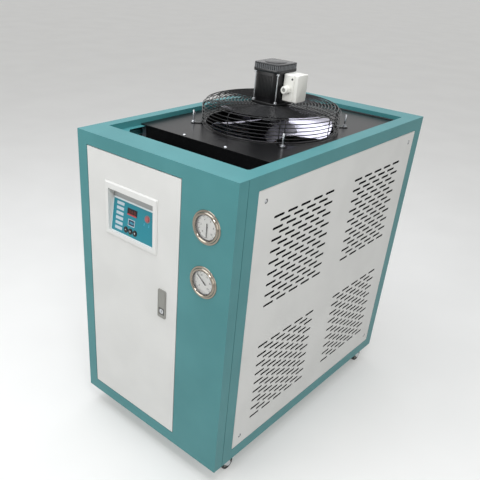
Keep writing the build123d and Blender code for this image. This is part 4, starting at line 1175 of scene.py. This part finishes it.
tread_half = [(18, -8.5), (22, -10.9), (24.2, -9.6), (25, -6)]
tread_profile = [*tread_half, *[(r, -h) for r, h in reversed(tread_half)], tread_half[0]]
hub_profile = [
    (4.1, -9),
    (8, -9),
    (9, -5),
    (15, -4),
    (17, -8),
    (18.2, -8),
    (18.2, 8),
    (17, 8),
    (15, 4),
    (9, 5),
    (8, 9),
    (4.1, 9),
    (4.1, -9),
]
for corner in ("front_left", "front_right", "rear_left", "rear_right"):
    low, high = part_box(f"caster_wheel_{corner}")
    tread = lathe_on_axle(tread_profile, (low + high) / 2)
    tread.name = f"caster_tread_{corner}"
    dress(tread, f"wheel_{corner}", "wheel_rubber", rubber, f"caster_wheel_{corner}")
    wheel_hub = lathe_on_axle(hub_profile, (low + high) / 2)
    wheel_hub.name = f"caster_hub_{corner}"
    dress(wheel_hub, f"wheel_{corner}", "black_plastic", rubber_grey)
print("4 casters, wheels", round((high.z - low.z) * 1000), "mm across")

# %% [markdown]
# ## Gauges
# A pressure gauge is a spun steel case: a thin flange against the fascia, a domed bezel that is
# turned over the glass, and a white printed dial. All are lathe forms, spun from one profile.

# %% Gauge cases
cases_low, cases_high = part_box("gauge_cases")
lens_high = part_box("gauge_lenses")[1]
gauge_x = (cases_low.x + cases_high.x) / 2
GAUGE_R = (cases_high.x - cases_low.x) / 2
gauge_z = [cases_low.z + GAUGE_R, cases_high.z - GAUGE_R]
case_profile = [
    (0, -45 * MM),
    (37 * MM, -45 * MM),
    (39.2 * MM, -42 * MM),
    (39.2 * MM, 0.1 * MM),
    (46.8 * MM, 0.1 * MM),
    (47.3 * MM, 0.9 * MM),
    (46.6 * MM, 2.2 * MM),
    (42.5 * MM, 2.6 * MM),
    (41.6 * MM, 5.0 * MM),
    (40.4 * MM, 6.5 * MM),
    (37.8 * MM, 6.9 * MM),
    (35.6 * MM, 5.8 * MM),
    (34.6 * MM, 4.2 * MM),
    (34.6 * MM, 1.6 * MM),
    (36.1 * MM, 1.6 * MM),
    (36.1 * MM, -3.6 * MM),
    (0, -3.6 * MM),
]
cases = [smooth(turned(case_profile, (gauge_x, front_y, z), "-Y", 96), 28) for z in gauge_z]
dress(joined("gauge_cases_spun", cases), "cabinet", "gauge_steel", stainless, "gauge_cases")

# %% Gauge shadow rings: a black ring inside each bezel, painted shadow at the dial's edge
shadow_ring_profile = [(32.9, 0.3), (34.5, 0.3), (34.5, 1.5), (33.4, 1.6), (32.9, 1.1), (32.9, 0.3)]
shadow_rings = [
    smooth(turned([(r * MM, h * MM) for r, h in shadow_ring_profile], (gauge_x, front_y, z), "-Y"), 40)
    for z in gauge_z
]
dress(joined("gauge_shadow_rings", shadow_rings), "cabinet", "seal_rubber", rubber)

# %% Gauge dials
DIAL_R = 35.9 * MM
dial_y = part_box("gauge_dials")[0].y
dial_parts, ink = [], []
for z in gauge_z:
    dial_parts.append(
        smooth(
            turned(
                [(0, -0.7 * MM), (DIAL_R, -0.7 * MM), (DIAL_R, 0), (0, 0)],
                (gauge_x, dial_y, z),
                "-Y",
            )
        )
    )
dress(joined("gauge_dial_plates", dial_parts), "cabinet", "dial_enamel", dial_white, "gauge_dials")

# %% Scales printed on the dials
FIGURE_R, SCALE_STEPS = 21 * MM, 50
for which, z in enumerate(gauge_z):
    for k in range(SCALE_STEPS + 1):
        turn = math.radians(-135 + 270 * k / SCALE_STEPS)
        major = k % 5 == 0
        inner, outer, half_w = (26.5, 33, 0.5) if major else (29.5, 33, 0.25)
        tick = block((-half_w * MM, -0.12 * MM, inner * MM), (half_w * MM, -0.02 * MM, outer * MM))
        tick.rotation_euler.y = turn
        tick.location = (gauge_x, dial_y, z)
        ink.append(settle(tick))
    for k in range(0, 6):
        turn = math.radians(-135 + 270 * k / 5)
        bpy.ops.object.text_add()
        figure = bpy.context.object
        figure.data.body = str(k * (2 if which else 5))
        figure.data.size = 7 * MM
        figure.data.align_x = figure.data.align_y = "CENTER"
        figure.data.extrude = 0.04 * MM
        bpy.ops.object.convert(target="MESH")
        figure.rotation_euler = (math.pi / 2, 0, 0)
        figure.location = (
            gauge_x + FIGURE_R * math.sin(turn),
            dial_y - 0.06 * MM,
            z + FIGURE_R * math.cos(turn),
        )
        ink.append(settle(figure))
dress(joined("gauge_dial_print", ink), "cabinet", "pointer_black", dial_black)
print(len(ink), "marks on the dials")

# %% Gauge glass
glass = [
    smooth(
        turned(
            [(0, 0), (35.6 * MM, 0), (35.6 * MM, 1.2 * MM), (20 * MM, 1.8 * MM), (0, 1.95 * MM)],
            (gauge_x, lens_high.y, z),
            "-Y",
            96,
        ),
        30,
    )
    for z in gauge_z
]
dress(joined("gauge_glasses", glass), "cabinet", "gauge_glass", gauge_glass, "gauge_lenses")

# %% [markdown]
# ## Control panel
# The controller's front is a printed film on a sloped plate, framed by a raised bezel. Bars, keys
# and windows are thin rounded plates placed by two numbers: across the film, and up its slope.

# %% The slope and its plates
bezel_low, bezel_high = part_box("control_bezel")
SLOPE = math.radians(8.40)
WINDOW_LOW = bezel_low.z + 13.5 * MM
slope_foot = Vector(((bezel_low.x + bezel_high.x) / 2, front_y + 1.5 * MM, WINDOW_LOW))
slope_turn = Matrix(
    (
        (1, 0, 0),
        (0, math.sin(SLOPE), -math.cos(SLOPE)),
        (0, math.cos(SLOPE), math.sin(SLOPE)),
    )
).to_4x4()
FILM = 0.8 * MM


def slope_plate(u0, v0, u1, v1, height=0.25, radius=1.0, lift=FILM):
    """A thin plate with rounded corners on the slope, in millimetres across and up."""
    plate = block((u0 * MM, v0 * MM, lift - 0.1 * MM), (u1 * MM, v1 * MM, lift + height * MM))
    round_edges(plate, "Z", radius * MM, 4)
    plate.matrix_world = Matrix.Translation(slope_foot) @ slope_turn
    return settle(plate)


def slope_round(u, v, profile, steps=48):
    """A lathe form that stands on the slope, from a profile in millimetres."""
    form = turned([(r * MM, h * MM + FILM) for r, h in profile], (0, 0, 0), "Z", steps)
    along = Matrix.Translation((u * MM, v * MM, 0))
    form.matrix_world = Matrix.Translation(slope_foot) @ slope_turn @ along
    return smooth(settle(form), 40)


# %% Print on the film
FILM_W, FILM_H, FILM_LOW = 179, 100, 2
half_w = FILM_W / 2
OUT, LAP = 3.9, 1.0
border = [
    slope_plate(-half_w - OUT, 0.2, -half_w + LAP, FILM_LOW + FILM_H + OUT, 1.1, 0.8, 0),
    slope_plate(half_w - LAP, 0.2, half_w + OUT, FILM_LOW + FILM_H + OUT, 1.1, 0.8, 0),
    slope_plate(-half_w, FILM_LOW + FILM_H - LAP, half_w, FILM_LOW + FILM_H + OUT, 1.1, 0.8, 0),
    slope_plate(-half_w, 0.2, half_w, FILM_LOW + LAP, 1.1, 0.8, 0),
]
dress(joined("film_white_border", border), "door", "overlay_film", film_white)
bars = [slope_plate(-74, 86 - 15 * k, -43, 95 - 15 * k, 0.3, 1.2) for k in range(6)]
bars.append(slope_plate(-20.5, 35.0, 7.5, 55.5, 0.25, 1.4))
dress(joined("film_grey_print", bars), "door", "overlay_film", film_lilac)
dark = [slope_plate(-18.5, 37.2, 5.5, 53.6, 0.4, 1.0), slope_plate(-28, 66.5, 14, 87.5, 0.3, 1.0)]
dress(joined("film_dark_print", dark), "door", "overlay_film", film_dark)
figures = []
for k in range(3):
    figures.append(slope_plate(-13.5 + 6.2 * k, 42.0, -10.0 + 6.2 * k, 49.0, 0.5, 0.5))
for u in (45.4, 64.5):
    figures.append(slope_plate(u - 1.6, 54, u + 1.6, 62, 0.3, 0.8))
dress(joined("film_pale_figures", figures), "door", "overlay_film", film_pale)
plate_top = (bezel_high.z - bezel_low.z) / MM - 29
# The plate above the film: its own pale grey paint, darker by painted shade of the recess under the
# bezel.
grey = slope_plate(-93.5, FILM_LOW + FILM_H + OUT, 93.5, plate_top, 0.3, 0.4, 0)
dress(grey, "door", "overlay_film", plate_grey_and_shade)
grey.name = "slope_shaded_plate"
print("grey plate above the film:", round(plate_top - FILM_LOW - FILM_H, 1), "mm")
green = [slope_plate(-12.5, 7.0, -7.0, 9.6, 0.3, 0.6)]
dress(joined("film_green_mark", green), "door", "overlay_film", film_green)

# %% Display
window = slope_plate(-26.2, 68.2, 12.2, 85.8, 0.9, 1.2)
dress(window, "door", "display_plastic", display_red, "display_window")
window.name = "display_window_plate"
SEGMENTS = (
    (0.8, 0, 5.2, 0.9),
    (0.8, 5.0, 5.2, 5.9),
    (0.8, 10.1, 5.2, 11.0),
    (0, 0.6, 0.9, 5.3),
    (5.1, 0.6, 6.0, 5.3),
    (0, 5.7, 0.9, 10.5),
    (5.1, 5.7, 6.0, 10.5),
)
segments = []
for digit in range(3):
    left = -20.0 + 10.4 * digit
    for u0, v0, u1, v1 in SEGMENTS:
        segments.append(slope_plate(left + u0, 71.5 + v0, left + u1, 71.5 + v1, 0.98, 0.2))
dress(joined("display_segments", segments), "door", "display_plastic", segment_red)
glow = slope_plate(-26.2, 66.6, 12.2, 70.4, 1.0, 0.8)
dress(glow, "door", "display_plastic", strip_red)
glow.name = "display_lower_strip"

# %% Key rings and marks
KEY_V, KEY_TOP = 19.5, 1.8
rings = []
for u in (-26.5, -7.2, 12.1):
    rings.append(slope_round(u, KEY_V, [(7.4, 0), (9.3, 0), (9.1, 0.55), (7.7, 0.55), (7.4, 0)]))
dress(joined("key_rings", rings), "door", "black_plastic", black_plastic)
for body, u, bits in (
    ("down_key", -26.5, ((-2.6, -0.6, 2.6, 0.8),)),
    ("set_key", -7.2, ((-2.2, -1.8, 2.2, -0.9), (-2.2, 0.9, 2.2, 1.8))),
    ("up_key", 12.1, ((-0.7, -2.6, 0.7, 2.6), (-2.4, -0.6, 2.4, 0.6))),
):
    parts = [
        slope_plate(u + a, KEY_V + b, u + c, KEY_V + d, KEY_TOP + 0.15, 0.25) for a, b, c, d in bits
    ]
    dress(joined(f"{body}_mark", parts), body, "overlay_film", film_white)
power_ring = slope_round(55.5, 76.5, [(7.5, 0), (11.0, 0), (10.8, 0.5), (8.0, 0.5), (7.5, 0)])
dress(power_ring, "door", "red_plastic", ring_red)
power_ring.name = "power_ring"

# %% [markdown]
# ## Condensers
# Each coil is a block of thin aluminium fins threaded on copper tube, between two end plates. One
# fin is arrayed along the coil, at a wider pitch than the real 2 mm so that it shows in a render.

# %% Condensers
FIN_PITCH = 4.0 * MM
for name in ("right_condenser", "left_condenser"):
    low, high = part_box(name)
    rear_plate_y = low.y + 700 * MM
    fin = block(
        (low.x + 2 * MM, low.y + 3 * MM, low.z + 2 * MM),
        (high.x - 2 * MM, low.y + 3.7 * MM, high.z - 0.5 * MM),
    )
    row = fin.modifiers.new("row", "ARRAY")
    row.use_relative_offset = False
    row.use_constant_offset = True
    row.constant_offset_displace = (0, FIN_PITCH, 0)
    row.count = int((rear_plate_y - low.y - 6 * MM) / FIN_PITCH)
    only(fin)
    bpy.ops.object.modifier_apply(modifier=row.name)
    core = block(
        (low.x + 12 * MM, low.y + 2 * MM, low.z + 6 * MM),
        (high.x - 12 * MM, rear_plate_y - 2 * MM, high.z - 6 * MM),
    )
    plates = [
        soften(block((low.x, y, low.z), (high.x, y + 2 * MM, high.z)), 0.4 * MM)
        for y in (low.y, rear_plate_y - 2 * MM)
    ]
    coil = joined(f"{name}_fins", [fin, core, *plates])
    dress(coil, "cabinet", "aluminium_fins", fins_metal, name)
    bends = []
    x0, x1 = low.x + 9 * MM, high.x - 9 * MM
    z = low.z + 30 * MM
    while z < high.z - 60 * MM:
        arc = [(x0, rear_plate_y + 2 * MM, z)]
        for step in range(7):
            turn = math.pi * step / 6
            out = (4 + 11 * math.sin(turn)) * MM
            arc.append((x0, rear_plate_y + out, z + 12.5 * MM * (1 - math.cos(turn))))
        arc.append((x0, rear_plate_y + 2 * MM, z + 25 * MM))
        for x in (x0, x1):
            bends.append(smooth(wire([(x, b, c) for _, b, c in arc], 4 * MM, 3), 60))
        z += 50 * MM
    pipe_x, pipe_y = low.x + 4 * MM, rear_plate_y + 5 * MM
    pipe_foot, pipe_top = (pipe_x, pipe_y, low.z + 20 * MM), (pipe_x, pipe_y, high.z - 12 * MM)
    header = smooth(rod(pipe_foot, pipe_top, 4.5 * MM, 16))
    dress(joined(f"{name}_bends", [*bends, header]), "cabinet", "copper_tube", copper)
    print(name, len(coil.data.polygons), "faces")

# %% [markdown]
# ## Studio
# A plain pale floor, four soft lamps and a dim world light the object at a plain level. The small
# fourth lamp reaches into the fan. To the camera and in reflections the floor glows a little, so it
# looks white and still takes the shadow.

# %% Floor
bpy.ops.mesh.primitive_plane_add(size=160, location=(0, 0, 0))
floor = bpy.context.object
floor.name = "floor"
floor_material, tree, shader, place = start_material("pale_floor", "#D2D2D0", 0.8)
mottle(tree, shader, place, "#D0D0CE", "#D4D4D2", 0.5)
floor.data.materials.append(floor_material)
rays = add_node(tree, "ShaderNodeLightPath")
seen = add_node(
    tree,
    "ShaderNodeMath",
    {0: rays.outputs["Is Camera Ray"], 1: rays.outputs["Is Glossy Ray"]},
    operation="MAXIMUM",
)
glow = add_node(
    tree, "ShaderNodeMapRange", {"Value": seen.outputs[0], "To Min": 0.0, "To Max": 0.28}
)
shader.inputs["Emission Color"].default_value = linear("#F2F2F0")
tree.links.new(glow.outputs["Result"], shader.inputs["Emission Strength"])
floor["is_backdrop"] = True


# %% World and lamps
def soft_lamp(name, place, aim, size, power, tint="#FFFFFF"):
    """A square soft box that shines from place towards aim."""
    light = bpy.data.lights.new(name, "AREA")
    light.color = linear(tint)[:3]
    light.size = size
    light.energy = power
    lamp = bpy.data.objects.new(name, light)
    lamp.location = place
    lamp.rotation_euler = (Vector(aim) - Vector(place)).to_track_quat("-Z", "Y").to_euler()
    bpy.context.scene.collection.objects.link(lamp)


middle = (cad_low + cad_high) / 2
soft_lamp("ceiling", (-0.3, -0.4, 3.4), middle, 2.6, 68, "#F4F8FF")
soft_lamp("front", (-1.2, -3.2, 1.9), middle, 2.0, 38)
soft_lamp("right", (3.0, -0.6, 1.7), middle, 1.8, 15)
fan_well = fan_centre - Vector((0.15, -0.15, 0.25))
soft_lamp("fan", (1.0, -1.2, 2.1), fan_well, 0.35, 9)
world = bpy.data.worlds.new("world")
bpy.context.scene.world = world
world.use_nodes = True
sky = world.node_tree.nodes["Background"]
sky.inputs["Color"].default_value = linear("#F4F4F4")
rays = add_node(world.node_tree, "ShaderNodeLightPath")
seen = add_node(
    world.node_tree,
    "ShaderNodeMath",
    {0: rays.outputs["Is Camera Ray"], 1: rays.outputs["Is Glossy Ray"]},
    operation="MAXIMUM",
)
seen = add_node(
    world.node_tree,
    "ShaderNodeMath",
    {0: seen.outputs[0], 1: rays.outputs["Is Transmission Ray"]},
    operation="MAXIMUM",
)
level = add_node(
    world.node_tree, "ShaderNodeMapRange", {"Value": seen.outputs[0], "To Min": 0.46, "To Max": 0.9}
)
world.node_tree.links.new(level.outputs["Result"], sky.inputs["Strength"])

# %% Sizes before and after, and the end
dressed_low, dressed_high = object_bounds()
growth = (dressed_high - dressed_low) - (cad_high - cad_low)
print("grows by", [round(v * 1000, 2) for v in growth], "mm")
